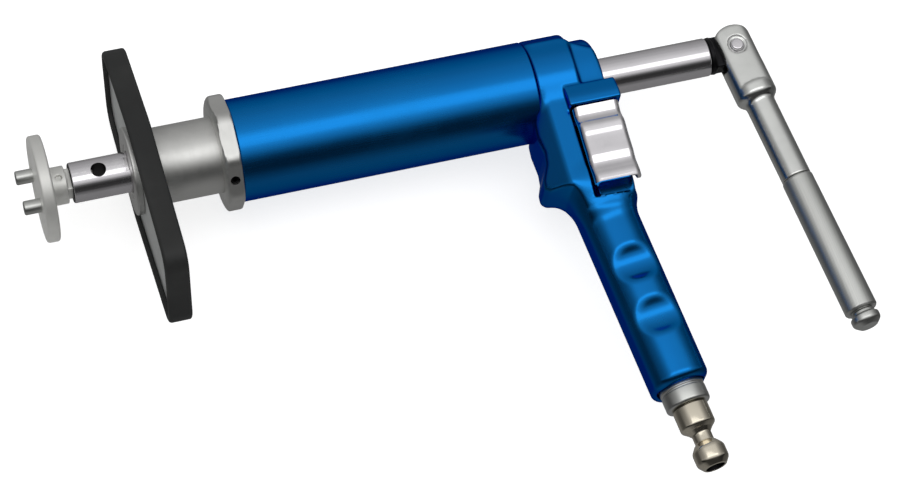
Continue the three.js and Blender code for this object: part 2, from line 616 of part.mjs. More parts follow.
// The bores of the head: for the rear shaft with its bush and seal, the valve, the trigger's pin and air.
function headBores() {
  const rearSeat = REAR_SHAFT.radius + RUN + REAR_BUSH.wall + RUN;
  const shaftRoom = REAR_SHAFT.radius + NOSE.throatGap;
  const { radius, port, aside } = AIRWAY;
  const pinHole = rod(triggerX - TRIGGER_PIN.seatDepth, triggerX + FAR, TRIGGER_PIN.radius + RUN);
  return [
    solid(rod(spigotFront - PAST, headBack + FAR, shaftRoom, ROUND)),
    solid(rod(spigotFront - PAST, headBack - REAR_BUSH.fromBack, rearSeat, ROUND)),
    solid(alongZ(rod(-FAR, FAR, VALVE.boreRadius)).translate(triggerX, -VALVE.down, 0)),
    solid(pinHole.translate(0, -TRIGGER_PIN.down, TRIGGER_PIN.out)),
    solid(alongY(rod(-VALVE.down + PAST, port, radius)).translate(triggerX - aside, 0, 0)),
    solid(rod(spigotFront - PAST, triggerX - aside, radius).translate(0, port, 0)),
  ];
}

// The grip's air bore, its threaded seat for the inlet and the recess round it.
function gripBores() {
  const seat = GRIP.end - INLET.recess;
  const threadEnd = seat - INLET.threadLength - 2 * PAST;
  return [
    solid(ontoGrip(rod(VALVE.down, GRIP.end + PAST, GRIP.bore))),
    solid(ontoGrip(rod(threadEnd, GRIP.end + PAST, INLET.threadRadius + RUN, ROUND))),
    solid(ontoGrip(rod(seat, GRIP.end + PAST, INLET.recessRadius, ROUND))),
  ];
}

function buildHead() {
  const casting = headSolid().add(headBlock()).add(gripSolid()).add(hoodSolid());
  const barrelRoom = solid(ring(barrelFront, headFront, bore - RUN / 2, BARREL.radius + SEAT));
  const cuts = [barrelRoom, ...triggerRoom(), ...headBores(), ...gripBores(), ...scallops()];
  add(tool, "head_and_grip", cutAll(casting, cuts), "blue");
}

function buildRearGuide() {
  const fit = REAR_SHAFT.radius + RUN;
  const outer = fit + REAR_BUSH.wall;
  const bushBack = headBack - REAR_BUSH.fromBack - RUN;
  const bushFront = bushBack - REAR_BUSH.length;
  add(tool, "rear_bush", ring(bushFront, bushBack, fit, outer), "bronze");
  add(tool, "rear_rod_seal", ring(bushFront - SEAT - ROD_SEAL_WIDTH, bushFront - SEAT, fit, outer), "seal");
}

// ---------------------------------------------------------------- trigger and valve

function buildTrigger() {
  const profile = [...TRIGGER_FACE, [TRIGGER.length, TRIGGER.lip]];
  const face = profile.map(([down, out]) => new THREE.Vector2(-TRIGGER.top - down, HEAD.face + out));
  const outer = new THREE.SplineCurve(face).getPoints(SMALL);
  const inner = outer.map((p) => new THREE.Vector2(p.x, p.y - TRIGGER.sheet)).reverse();
  const acrossX = new THREE.Matrix4().makeBasis(
    new THREE.Vector3(0, 1, 0), new THREE.Vector3(0, 0, 1), new THREE.Vector3(1, 0, 0));
  const half = TRIGGER.width / 2;
  const across = (points, from, to) =>
    solid(slab(new THREE.Shape(points), from, to).applyMatrix4(acrossX).translate(triggerX, 0, 0));
  const low = TRIGGER_PIN.out - TRIGGER.flange / 2 + TRIGGER_PIN.radius;
  const [first, last] = [outer[0], outer.at(-1)];
  const skirt = [...outer, new THREE.Vector2(last.x + TRIGGER.sheet, HEAD.lugFace + 2 * SEAT),
    new THREE.Vector2(last.x + TRIGGER.sheet + TRIGGER.flange, low), new THREE.Vector2(first.x, low)];
  const web = across([...outer, ...inner], -half, half);
  const left = across(skirt, -half, -half + TRIGGER.sheet);
  const right = across(skirt, half - TRIGGER.sheet, half);
  const eye = rod(triggerX - half - PAST, triggerX + half + PAST, TRIGGER_PIN.radius + RUN)
    .translate(0, -TRIGGER_PIN.down, TRIGGER_PIN.out);
  add(tool, "trigger", web.add(left).add(right).subtract(solid(eye)), "chrome");

  const pinLength = half + TRIGGER_PIN.proud;
  const pivot = rod(triggerX - pinLength, triggerX + pinLength, TRIGGER_PIN.radius);
  add(tool, "trigger_pin", pivot.translate(0, -TRIGGER_PIN.down, TRIGGER_PIN.out), "steel");
}

function buildValve() {
  const { down, boreRadius, stemRadius, headRadius, headLength, bushLength, sealWidth, tip } = VALVE;
  const { tailRadius, tailLength } = VALVE;
  const at = (geometry) => alongZ(geometry).translate(triggerX, -down, 0);
  const bushOut = HEAD.lugFace - RUN;
  const bushIn = bushOut - bushLength;
  const fit = boreRadius - RUN;
  const headOut = bushIn - sealWidth - 2 * RUN;
  const headIn = headOut - headLength;
  const stemTop = HEAD.face + VALVE.aboveFace - SEAT;
  add(tool, "valve_bush", at(ring(bushIn, bushOut, stemRadius + RUN, fit, SMALL)), "bronze");
  const stem = turned([
    [headIn - tailLength, 0], [headIn - tailLength, tailRadius], [headIn, tailRadius], [headIn, headRadius],
    [headOut, headRadius], [headOut, stemRadius], [stemTop - tip, stemRadius], [stemTop, stemRadius - tip],
    [stemTop, 0],
  ], SMALL);
  add(tool, "valve_stem", at(stem), "steel");
  const sealX = headOut + RUN;
  add(tool, "valve_seal", at(ring(sealX, sealX + sealWidth, stemRadius + RUN, headRadius, SMALL)), "seal");

  const outside = -HEAD.face;
  const capIn = outside + VALVE_CAP.plug;
  const { wire, radius, coils } = VALVE_SPRING;
  add(tool, "valve_spring", at(coilSpring(capIn + SEAT, headIn - SEAT, radius, wire, coils)), "steel");
  const { headRadius: capHead, proud, edge, keyRadius, keyDepth } = VALVE_CAP;
  const cap = solid(turned([
    [outside - proud, 0], [outside - proud, capHead - edge], [outside - proud + edge, capHead],
    [outside - SEAT, capHead], [outside - SEAT, fit], [capIn, fit], [capIn, 0],
  ], SMALL));
  const key = solid(rod(outside - proud - PAST, outside + keyDepth, keyRadius, 6));
  add(tool, "valve_cap", at(surface(cap.subtract(key))), "black");
}

// ---------------------------------------------------------------- air inlet

function buildInlet() {
  const inlet = new THREE.Group();
  inlet.position.x = gripX;
  inlet.rotation.z = rad(GRIP.lean - 90);
  tool.add(inlet);
  const seat = GRIP.end - INLET.recess;
  const collarX = seat + SEAT + INLET.washer + SEAT;
  const collarEnd = collarX + INLET.collarLength;
  const { threadRadius, threadLength, threadBore, collarRadius, collarChamfer } = INLET;
  const washer = ring(seat + SEAT, collarX - SEAT, threadRadius + RUN, collarRadius);
  add(inlet, "inlet_washer", washer, "seal");
  add(inlet, "inlet_bush", turned([
    [seat - threadLength, threadBore], [seat - threadLength, threadRadius], [collarX, threadRadius],
    [collarX, collarRadius], [collarEnd - collarChamfer, collarRadius],
    [collarEnd, collarRadius - collarChamfer], [collarEnd, threadBore],
  ]), "satin");

  const { bodyRadius, bodyLength, taper, neckRadius, neckLength, bulbRadius, bulbRise, length } = PLUG;
  const { bore: hole, mouthRadius } = PLUG;
  const start = collarEnd + SEAT;
  const bodyEnd = start + bodyLength;
  const end = start + length;
  const neckEnd = bodyEnd + neckLength;
  const threadStart = start - PLUG.threadLength;
  const shoulders = [45, 90].map((a) => [
    neckEnd + bulbRise * (1 - Math.cos(rad(a))), neckRadius + (bulbRadius - neckRadius) * Math.sin(rad(a)),
  ]);
  add(inlet, "air_plug", turned([
    [threadStart, hole], [threadStart, threadBore - RUN], [start, threadBore - RUN], [start, bodyRadius],
    [bodyEnd - taper, bodyRadius], [bodyEnd, neckRadius], [neckEnd, neckRadius], ...shoulders,
    [end - bulbRise / 2, bulbRadius - RUN], [end, (bulbRadius + mouthRadius) / 2], [end, mouthRadius],
    [end - bulbRise, hole],
  ]), "nickel");
}

// ---------------------------------------------------------------- winding handle

function buildHandle() {
  const handle = new THREE.Group();
  handle.position.x = hingeX;
  handle.rotation.z = rad(HANDLE.rest);
  tool.add(handle);
  const { headRadius, domeRadius, flat, flatEnd, shoulder, shoulderLength, neckRadius, coreRadius } = HANDLE;
  const { sleeveStart, sleeveRadius, sleeveEndRadius, chamfer } = HANDLE;
  const { length, capLength, capChamfer, capRound } = HANDLE;
  const coreEnd = length - capLength;
  const bar = solid(turned([
    [-domeRadius - PAST, 0], [-domeRadius - PAST, headRadius], [shoulder, headRadius],
    [shoulder + shoulderLength / 2, headRadius - PAST], [shoulder + shoulderLength, neckRadius],
    [sleeveStart, neckRadius], [sleeveStart, coreRadius], [coreEnd, coreRadius], [coreEnd, 0],
  ]));
  const dome = new THREE.Shape();
  dome.absarc(0, 0, domeRadius, Math.PI / 2, 1.5 * Math.PI, false);
  dome.lineTo(length, -domeRadius);
  dome.lineTo(length, domeRadius);
  dome.closePath();
  const plan = solid(slab(dome, -FAR, FAR, 0, SMALL));
  const slotHalf = KNUCKLE.tang / 2 + HINGE.gap;
  const slotEnd = KNUCKLE.tangRadius + HINGE.nose;
  const cuts = [
    solid(block(-FAR, flatEnd, -FAR, FAR, flat, FAR)),
    solid(block(-FAR, flatEnd, -FAR, FAR, -FAR, -flat)),
    solid(block(-FAR, slotEnd, -FAR, FAR, -slotHalf, slotHalf)),
    solid(alongZ(rod(-FAR, FAR, HINGE.pinRadius + RUN))),
  ];
  add(handle, "handle_fork", cutAll(bar.intersect(plan), cuts), "steel");
  const pinEnd = flat + HINGE.pinProud;
  add(handle, "hinge_pin", alongZ(pin(-pinEnd, pinEnd, HINGE.pinRadius, HINGE.pinChamfer)), "steel");
  const sleeveFront = sleeveStart + SEAT;
  add(handle, "handle_sleeve", turned([
    [sleeveFront, coreRadius + RUN], [sleeveFront, sleeveRadius - chamfer],
    [sleeveFront + chamfer, sleeveRadius], [coreEnd - SEAT, sleeveEndRadius],
    [coreEnd - SEAT, coreRadius + RUN],
  ]), "satin");
  const capStart = coreEnd + SEAT;
  add(handle, "handle_end_cap", turned([
    [capStart, 0], [capStart, sleeveEndRadius - capChamfer], [capStart + capChamfer, sleeveEndRadius],
    [length - capRound, sleeveEndRadius], [length - capRound / 3, sleeveEndRadius - capRound / 3],
    [length, sleeveEndRadius - capRound], [length, 0],
  ]), "satin");
}

buildAdaptor();
buildSpindle();
buildKnuckle();
buildPlate();
buildNose();
buildCollar();
buildCylinder();
buildPiston();
buildHead();
buildRearGuide();
buildTrigger();
buildValve();
buildInlet();
buildHandle();

export default tool;
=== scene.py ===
"""The finished surfaces of an air-operated brake piston wind-back tool, its studio and its camera.

The tool points along -X, its grip hangs towards -Y and its left side, with the trigger, faces up along +Z.
Sizes are millimetres until a shape becomes a mesh. What fits the frame takes its place from the frame's
boxes.
"""
import json
import math

import bpy
import numpy as np
from mathutils import Matrix, Vector


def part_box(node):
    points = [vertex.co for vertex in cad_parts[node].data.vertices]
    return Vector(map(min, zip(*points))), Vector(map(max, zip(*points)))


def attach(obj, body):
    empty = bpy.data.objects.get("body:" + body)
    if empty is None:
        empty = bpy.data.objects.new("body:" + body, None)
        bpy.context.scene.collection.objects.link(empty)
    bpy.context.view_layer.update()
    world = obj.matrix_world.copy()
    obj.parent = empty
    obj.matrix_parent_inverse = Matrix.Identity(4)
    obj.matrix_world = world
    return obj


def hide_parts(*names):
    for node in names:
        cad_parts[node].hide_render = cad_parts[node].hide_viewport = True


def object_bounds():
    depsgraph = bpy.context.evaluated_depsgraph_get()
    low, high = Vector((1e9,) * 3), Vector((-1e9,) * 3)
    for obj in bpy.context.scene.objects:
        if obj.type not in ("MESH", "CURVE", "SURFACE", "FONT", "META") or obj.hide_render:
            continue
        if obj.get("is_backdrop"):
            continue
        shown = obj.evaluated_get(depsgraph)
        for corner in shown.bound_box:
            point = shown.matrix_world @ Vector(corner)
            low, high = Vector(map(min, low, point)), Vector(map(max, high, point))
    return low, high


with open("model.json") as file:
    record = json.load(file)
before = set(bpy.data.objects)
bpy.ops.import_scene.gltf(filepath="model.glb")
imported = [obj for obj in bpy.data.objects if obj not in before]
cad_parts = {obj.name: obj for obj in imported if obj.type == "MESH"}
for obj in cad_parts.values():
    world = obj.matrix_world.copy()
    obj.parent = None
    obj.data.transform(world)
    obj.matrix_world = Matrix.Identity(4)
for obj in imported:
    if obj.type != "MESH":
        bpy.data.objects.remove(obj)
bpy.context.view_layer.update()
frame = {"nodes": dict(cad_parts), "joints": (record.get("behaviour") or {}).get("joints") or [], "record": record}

MM = 0.001
FINE = 128  # facets round a large turned piece
ARC_STEPS = 6  # points on each rounded corner of a profile
BODY_OF = {node: body for body, nodes in frame["record"]["behaviour"]["bodies"].items() for node in nodes}
SLOT_OF = {part["node"]: part["material_slot"] for part in frame["record"]["subparts"]}
JOINTS = {joint["name"]: joint for joint in frame["joints"]}


def corners(node):
    """A CAD node's lowest and highest corner, in millimetres."""
    low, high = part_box(node)
    return np.array(low) / MM, np.array(high) / MM


def length_and_radius(node):
    """Where a piece on the spindle's axis starts and ends along it, and its radius."""
    low, high = corners(node)
    return low[0], high[0], (high[2] - low[2]) / 2


# ---- shapes: profiles and grids


def rounded_corner(before, corner, after, radius):
    """The arc that touches both sides of a corner: its centre lies on the corner's bisector, at radius over
    the sine of the half angle, and the arc turns from one touching point to the other about it."""
    if radius == 0:
        return corner[None]
    one = (before - corner) / np.linalg.norm(before - corner)
    two = (after - corner) / np.linalg.norm(after - corner)
    half = np.arccos(np.clip(one @ two, -1, 1)) / 2
    middle = (one + two) / np.linalg.norm(one + two)
    centre = corner + middle * radius / np.sin(half)
    start = corner + one * radius / np.tan(half) - centre
    end = corner + two * radius / np.tan(half) - centre
    turn = math.pi - 2 * half
    share = np.linspace(0, 1, ARC_STEPS)[:, None]
    return centre + (np.sin((1 - share) * turn) * start + np.sin(share * turn) * end) / math.sin(turn)


def rounded_line(points):
    """A closed line through points [a, b, rounding], each corner replaced by an arc of that radius."""
    knots = np.array([point[:2] for point in points], float)
    before, after = np.roll(knots, 1, axis=0), np.roll(knots, -1, axis=0)
    rounding = [point[2] if len(point) > 2 else 0 for point in points]
    arcs = [rounded_corner(*knot, radius) for *knot, radius in zip(before, knots, after, rounding)]
    return np.concatenate(arcs)


def grid_faces(rows, columns, wrap_rows=False):
    """Four-sided faces over a grid whose columns close on themselves, ordered so that they face outwards."""
    row = np.arange(rows if wrap_rows else rows - 1)[:, None]
    column = np.arange(columns)[None]
    next_row, next_column = (row + 1) % rows, (column + 1) % columns
    parts = [row * columns + column, row * columns + next_column,
             next_row * columns + next_column, next_row * columns + column]
    return np.stack(np.broadcast_arrays(*parts), -1).reshape(-1, 4)


def turned(profile, facets=FINE):
    """A profile [x, radius, rounding] turned about X: point (x, radius) goes to (x, radius cos a,
    radius sin a). It runs over the outside from the front, and back along the bore or the axis."""
    line = rounded_line(profile)
    angle = np.linspace(0, 2 * math.pi, facets, endpoint=False)
    solid = profile[0][1] == 0
    rings = line[1:-1] if solid else line
    across = rings[:, 1:2] * np.cos(angle), rings[:, 1:2] * np.sin(angle)
    points = np.stack([np.broadcast_to(rings[:, :1], across[0].shape), *across], -1).reshape(-1, 3)
    faces = grid_faces(len(rings), facets, wrap_rows=not solid).tolist()
    if solid:
        first, last = len(points), len(points) + 1
        points = np.vstack([points, [[line[0, 0], 0, 0], [line[-1, 0], 0, 0]]])
        near = np.arange(facets)
        far = near + facets * (len(rings) - 1)
        ends = [np.stack([np.full(facets, first), np.roll(near, -1), near], -1),
                np.stack([np.full(facets, last), far, np.roll(far, -1)], -1)]
        faces += np.concatenate(ends).tolist()
    return points, faces


def moved(shape, turn=(0, 0, 0), to=(0, 0, 0)):
    """A shape turned by angles in degrees about X, then Y, then Z, and then moved."""
    points, faces = shape
    matrix = Matrix.Identity(3)
    for angle, axis in zip(turn, "XYZ"):
        matrix = Matrix.Rotation(math.radians(angle), 3, axis) @ matrix
    return points @ np.array(matrix).T + np.array(to), faces


def prism(sides, radius, start, end):
    """A bar with flat sides along X, for cutting a key socket."""
    return turned([[start, 0], [start, radius], [end, radius], [end, 0]], sides)


# ---- shapes: distance fields and their skins


def rounded(side, past, edge):
    """Distance to a corner rounded by edge, from how far a point is past each of its two sides."""
    return np.hypot(np.maximum(side, 0), np.maximum(past, 0)) + np.minimum(np.maximum(side, past), 0) - edge


def capped(along, out, start, end, radius, edge):
    """Distance to a round bar with rounded rims: out is the distance from its axis."""
    past = np.abs(along - (start + end) / 2) - ((end - start) / 2 - edge)
    return rounded(out - (radius - edge), past, edge)


def brick(x, y, z, low, high, edge):
    """Distance to a box with rounded edges."""
    over = [np.abs(a - (l + h) / 2) - ((h - l) / 2 - edge) for a, l, h in zip((x, y, z), low, high)]
    outside = np.sqrt(sum(np.maximum(o, 0) ** 2 for o in over))
    return outside + np.minimum(np.maximum(np.maximum(over[0], over[1]), over[2]), 0) - edge


def outline_distance(a, b, points):
    """Signed distance to a closed outline: the nearest side's distance, negative where a ray crosses the
    outline an odd number of times."""
    knots = np.array(points, float)
    nearest, inside = np.full(np.broadcast(a, b).shape, np.inf), np.zeros(np.broadcast(a, b).shape, bool)
    for (a0, b0), (a1, b1) in zip(knots, np.roll(knots, -1, axis=0)):
        da, db = a1 - a0, b1 - b0
        share = np.clip(((a - a0) * da + (b - b0) * db) / (da * da + db * db), 0, 1)
        nearest = np.minimum(nearest, np.hypot(a - a0 - share * da, b - b0 - share * db))
        if db:
            inside ^= ((b0 > b) != (b1 > b)) & (a < a0 + da * (b - b0) / db)
    return np.where(inside, -nearest, nearest)


def joined(one, two, fillet):
    """Both fields together, with a fillet of about that size where they meet."""
    mix = np.clip(0.5 + 0.5 * (two - one) / fillet, 0, 1)
    return two + (one - two) * mix - fillet * mix * (1 - mix)


def cut_by(body, tool, edge):
    """The body without the tool, its new edges rounded by about that size."""
    return -joined(-body, tool, edge)


def common(one, two, edge):
    """What both fields hold, its edges rounded by about that size."""
    return -joined(-one, -two, edge)


def skin(field, low, high, step):
    """The surface where a field is zero. Each cell that the surface crosses gets one point, the mean of its
    crossed edges, and each crossed grid edge a face between its four cells. The points then slide down the
    field's slope onto the surface itself."""
    axes = [np.arange(l - 1.5 * step, h + 2.5 * step, step) for l, h in zip(low, high)]
    x, y, z = np.meshgrid(*axes, indexing="ij", sparse=True)
    value = np.broadcast_to(field(x, y, z), [len(axis) for axis in axes])
    cells = tuple(n - 1 for n in value.shape)
    total, count = np.zeros(cells + (3,)), np.zeros(cells)
    for axis in range(3):
        others = [k for k in range(3) if k != axis]
        one, two = np.delete(value, -1, axis), np.delete(value, 0, axis)
        crossed = (one < 0) != (two < 0)
        with np.errstate(divide="ignore", invalid="ignore"):
            share = np.where(crossed, one / (one - two), 0)
        for near in (0, 1):
            for far in (0, 1):
                window = [slice(None)] * 3
                window[others[0]] = slice(near, near + cells[others[0]])
                window[others[1]] = slice(far, far + cells[others[1]])
                hit = crossed[tuple(window)]
                total[..., axis] += hit * share[tuple(window)]
                total[..., others[0]] += hit * near
                total[..., others[1]] += hit * far
                count += hit
    used = count > 0
    number = np.full(cells, -1)
    number[used] = np.arange(used.sum())
    start = np.array([axis[0] for axis in axes])
    points = start + (np.argwhere(used) + total[used] / count[used][:, None]) * step
    quads = []
    for axis in range(3):
        u, v = (axis + 1) % 3, (axis + 2) % 3
        at = np.argwhere((np.delete(value, -1, axis) < 0) != (np.delete(value, 0, axis) < 0))
        at = at[(at[:, u] > 0) & (at[:, v] > 0) & (at[:, u] < cells[u]) & (at[:, v] < cells[v])]
        back_u, back_v = np.eye(3, dtype=int)[u], np.eye(3, dtype=int)[v]
        ring = [at - back_u - back_v, at - back_v, at, at - back_u]
        face = np.stack([number[tuple(place.T)] for place in ring], -1)
        inward = value[tuple(at.T)] >= 0
        face[inward] = face[inward][:, ::-1]
        quads.append(face)
    tiny = step * 0.01
    for _ in range(4):
        here = field(*points.T)
        slope = np.stack([(field(*(points + tiny * way).T) - here) / tiny for way in np.eye(3)], -1)
        steep = np.maximum((slope ** 2).sum(1), 0.2)
        shift = slope * (here / steep)[:, None]
        points = points - np.clip(shift, -step / 2, step / 2)
    return points, np.concatenate(quads).tolist()


# ---- meshes and pieces


def raw_object(name, shape):
    """A mesh object from points and faces, still in millimetres."""
    points, faces = shape
    mesh = bpy.data.meshes.new(name)
    mesh.from_pydata(np.asarray(points).tolist(), [], faces)
    obj = bpy.data.objects.new(name, mesh)
    bpy.context.scene.collection.objects.link(obj)
    return obj


def carved(shape, *tools):
    """A shape with other shapes cut out of it by exact booleans."""
    base = raw_object("blank", shape)
    cutters = [raw_object("cutter", tool) for tool in tools]
    for cutter in cutters:
        boolean = base.modifiers.new("cut", "BOOLEAN")
        boolean.operation, boolean.solver, boolean.object = "DIFFERENCE", "EXACT", cutter
    graph = bpy.context.evaluated_depsgraph_get()
    mesh = bpy.data.meshes.new_from_object(base.evaluated_get(graph))
    points = np.empty(len(mesh.vertices) * 3)
    mesh.vertices.foreach_get("co", points)
    faces = [list(face.vertices) for face in mesh.polygons]
    for obj in [base, *cutters]:
        bpy.data.objects.remove(obj)
    return points.reshape(-1, 3), faces


def shade_and_oxide_in_hole(obj, inside):
    """Gives black oxide to the faces whose middles the test accepts: partly the oxide that stays in an unpolished
    hole, and partly painted shade on inner walls that would otherwise show lit.
    """
    obj.data.materials.append(FINISHES["black_oxide"])
    middle = np.empty(len(obj.data.polygons) * 3)
    obj.data.polygons.foreach_get("center", middle)
    index = inside(*(middle.reshape(-1, 3).T / MM)).astype(np.int32)
    obj.data.polygons.foreach_set("material_index", index)


def piece(name, shape, node, finish=None, sharp=40):
    """A finished piece that stands for a CAD node and rides on its body. Edges sharper than the given angle
    stay sharp, and everything else is smooth."""
    points, faces = shape
    obj = raw_object(name, (np.asarray(points) * MM, faces))
    obj.data.shade_smooth()
    obj.data.set_sharp_from_angle(angle=math.radians(sharp))
    obj.data.materials.append(FINISHES[finish or SLOT_OF[node]])
    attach(obj, BODY_OF[node])
    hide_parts(node)
    return obj


# ---- shared surface effects


def effect_group(recipe, outputs, **inputs):
    """A shader node group named after its recipe, with a Place vector, the given float inputs and float
    outputs. The recipe takes the group and its input sockets, and gives the sockets that go out."""
    group = bpy.data.node_groups.new(recipe.__name__, "ShaderNodeTree")
    group.interface.new_socket("Place", in_out="INPUT", socket_type="NodeSocketVector")
    for label, value in inputs.items():
        socket = group.interface.new_socket(label, in_out="INPUT", socket_type="NodeSocketFloat")
        socket.default_value = value
    for label in outputs:
        group.interface.new_socket(label, in_out="OUTPUT", socket_type="NodeSocketFloat")
    given, out = group.nodes.new("NodeGroupInput"), group.nodes.new("NodeGroupOutput")
    results = recipe(group, *list(given.outputs)[:len(inputs) + 1])
    for label, result in zip(outputs, results):
        group.links.new(result, out.inputs[label])
    return group


def noise(group, place, scale, detail=3.0, roughness=0.55):
    """A noise texture. scale is a socket or a number."""
    node = group.nodes.new("ShaderNodeTexNoise")
    node.inputs["Detail"].default_value = detail
    node.inputs["Roughness"].default_value = roughness
    group.links.new(place, node.inputs["Vector"])
    if isinstance(scale, bpy.types.NodeSocket):
        group.links.new(scale, node.inputs["Scale"])
    else:
        node.inputs["Scale"].default_value = scale
    return node.outputs["Fac"]


def arithmetic(group, operation, *values):
    """A math node. Each value is a socket or a number."""
    node = group.nodes.new("ShaderNodeMath")
    node.operation = operation
    for slot, value in zip(node.inputs, values):
        if isinstance(value, (int, float)):
            slot.default_value = value
        else:
            group.links.new(value, slot)
    return node.outputs[0]


def ramp_between(group, value, low, high):
    """0 below low, 1 above high, and a smooth step between."""
    node = group.nodes.new("ShaderNodeMapRange")
    node.interpolation_type = "SMOOTHSTEP"
    group.links.new(value, node.inputs["Value"])
    node.inputs["From Min"].default_value = low
    node.inputs["From Max"].default_value = high
    return node.outputs["Result"]


def grain(group, place, size, depth):
    """Fine cast or blasted grain: two noises of different size added up, out as a height."""
    fine = noise(group, place, size, detail=2)
    coarse = noise(group, place, arithmetic(group, "MULTIPLY", size, 0.28), detail=2)
    return [arithmetic(group, "MULTIPLY", arithmetic(group, "MULTIPLY_ADD", coarse, 0.6, fine), depth)]


def turning_marks(group, place, size):
    """Marks left by turning or drawing: noise stretched along one direction. Place is already stretched."""
    lines = noise(group, place, size, detail=4, roughness=0.7)
    return [lines, ramp_between(group, lines, 0.35, 0.68)]


def handling(group, place, size, amount):
    """Smudges and faint dust from handling: a broad soft mask broken up by a finer one."""
    broad = ramp_between(group, noise(group, place, size, detail=5), 0.42, 0.68)
    small = noise(group, place, arithmetic(group, "MULTIPLY", size, 7.0), detail=3)
    return [arithmetic(group, "MULTIPLY", arithmetic(group, "MULTIPLY", broad, small), amount)]


def scratches(group, place, size, amount):
    """A few fine scratches: the thin zero lines of a noise, kept only in patches."""
    wave = noise(group, place, size, detail=1)
    line = arithmetic(group, "ABSOLUTE", arithmetic(group, "SUBTRACT", wave, 0.5))
    thin = arithmetic(group, "SUBTRACT", 1.0, ramp_between(group, line, 0.0, 0.006))
    patch = ramp_between(group, noise(group, place, 55.0, detail=2), 0.55, 0.7)
    return [arithmetic(group, "MULTIPLY", arithmetic(group, "MULTIPLY", thin, patch), amount)]


def edge_wear_and_sheen(group, place, amount):
    """Paler edges where the surface is sharply convex, broken up by noise: wear on the metals and rubber, and on
    the blue anodising a painted highlight along rounded edges as well as wear.
    """
    shape = group.nodes.new("ShaderNodeNewGeometry")
    convex = ramp_between(group, shape.outputs["Pointiness"], 0.53, 0.6)
    broken = ramp_between(group, noise(group, place, 420.0, detail=4), 0.4, 0.62)
    return [arithmetic(group, "MULTIPLY", arithmetic(group, "MULTIPLY", convex, broken), amount)]


EFFECTS = {group.name: group for group in (
    effect_group(grain, ["Height"], Size=900.0, Depth=1.0),
    effect_group(turning_marks, ["Height", "Streak"], Size=500.0),
    effect_group(handling, ["Smudge"], Size=38.0, Amount=1.0),
    effect_group(scratches, ["Scratch"], Size=60.0, Amount=1.0),
    effect_group(edge_wear_and_sheen, ["Wear"], Amount=1.0),
)}


# ---- finishes


class Finish:
    """One material: a Principled BSDF, and helpers that place the shared effects round it."""

    def __init__(self, name, colour, metallic, roughness):
        self.material = bpy.data.materials.new(name)
        self.material.use_nodes = True
        self.tree = self.material.node_tree
        self.shader = self.tree.nodes["Principled BSDF"]
        self.shader.inputs["Metallic"].default_value = metallic
        self.place = self.tree.nodes.new("ShaderNodeTexCoord").outputs["Object"]
        self.colour, self.roughness, self.height = (*colour, 1), roughness, None

    def feed(self, value, socket):
        """Sets a socket to a constant, or links an output to it."""
        if isinstance(value, bpy.types.NodeSocket):
            self.tree.links.new(value, socket)
        else:
            socket.default_value = value

    def effect(self, name, place=None, **values):
        """The outputs of one shared effect, placed on this material."""
        node = self.tree.nodes.new("ShaderNodeGroup")
        node.node_tree = EFFECTS[name]
        self.tree.links.new(place or self.place, node.inputs["Place"])
        for label, value in values.items():
            node.inputs[label].default_value = value
        return node.outputs

    def stretched(self, scale, turn=(0, 0, 0)):
        """Object coordinates stretched along an axis, for marks that run one way."""
        node = self.tree.nodes.new("ShaderNodeMapping")
        node.inputs["Scale"].default_value = scale
        node.inputs["Rotation"].default_value = [math.radians(angle) for angle in turn]
        self.tree.links.new(self.place, node.inputs["Vector"])
        return node.outputs[0]

    def tint(self, mask, colour, amount=1.0):
        """Mixes a colour in where the mask is high."""
        node = self.tree.nodes.new("ShaderNodeMix")
        node.data_type = "RGBA"
        self.tree.links.new(arithmetic(self.tree, "MULTIPLY", mask, amount), node.inputs["Factor"])
        self.feed(self.colour, node.inputs["A"])
        node.inputs["B"].default_value = (*colour, 1)
        self.colour = node.outputs["Result"]

    def roughen(self, mask, amount):
        """Adds to the roughness where the mask is high."""
        self.roughness = arithmetic(self.tree, "MULTIPLY_ADD", mask, amount, self.roughness)

    def raise_by(self, height, depth_mm):
        """Adds a relief of the given depth to the bump."""
        part = arithmetic(self.tree, "MULTIPLY", height, depth_mm * MM)
        self.height = part if self.height is None else arithmetic(self.tree, "ADD", self.height, part)

    def done(self, **sockets):
        """Joins the colour, roughness and relief to the shader and gives the material."""
        self.feed(self.colour, self.shader.inputs["Base Color"])
        self.feed(self.roughness, self.shader.inputs["Roughness"])
        if self.height is not None:
            bump = self.tree.nodes.new("ShaderNodeBump")
            bump.inputs["Distance"].default_value = 1.0
            self.tree.links.new(self.height, bump.inputs["Height"])
            self.tree.links.new(bump.outputs[0], self.shader.inputs["Normal"])
        for label, value in sockets.items():
            self.shader.inputs[label.replace("_", " ")].default_value = value
        return self.material


ALONG_X = (0.02, 1, 1)  # stretches a pattern along the spindle
AROUND_X = (1, 0.02, 0.02)  # stretches it round the spindle instead
ROUND_PLATE = (1, 1, 0.02)  # stretches it across the reaction plate


def blue_finish(name, grain_depth, marks):
    """Satin blue anodising over drawn or cast aluminium, a little paler where it is handled, and a paler blue on
    sharp edges that is partly wear and partly a painted highlight.
    """
    finish = Finish(name, (0.008, 0.19, 0.57), 1.0, 0.22)
    broad = finish.effect("handling", Size=22.0)["Smudge"]
    finish.tint(broad, (0.010, 0.22, 0.60), 0.5)
    # The brighter blue on sharp convex edges is partly wear and partly a painted highlight along the rounded
    # edges.
    finish.tint(finish.effect("edge_wear_and_sheen")["Wear"], (0.10, 0.36, 0.76), 0.6)
    finish.roughen(broad, 0.10)
    if marks:
        streaks = finish.effect("turning_marks", finish.stretched(marks), Size=2600.0)
        finish.raise_by(streaks["Height"], 0.004)
        finish.roughen(streaks["Streak"], 0.04)
    finish.raise_by(finish.effect("grain", Size=1500.0)["Height"], grain_depth)
    finish.raise_by(finish.effect("scratches", Size=46.0)["Scratch"], -0.001)
    return finish.done(Specular_Tint=(0.02, 0.2, 0.65, 1))


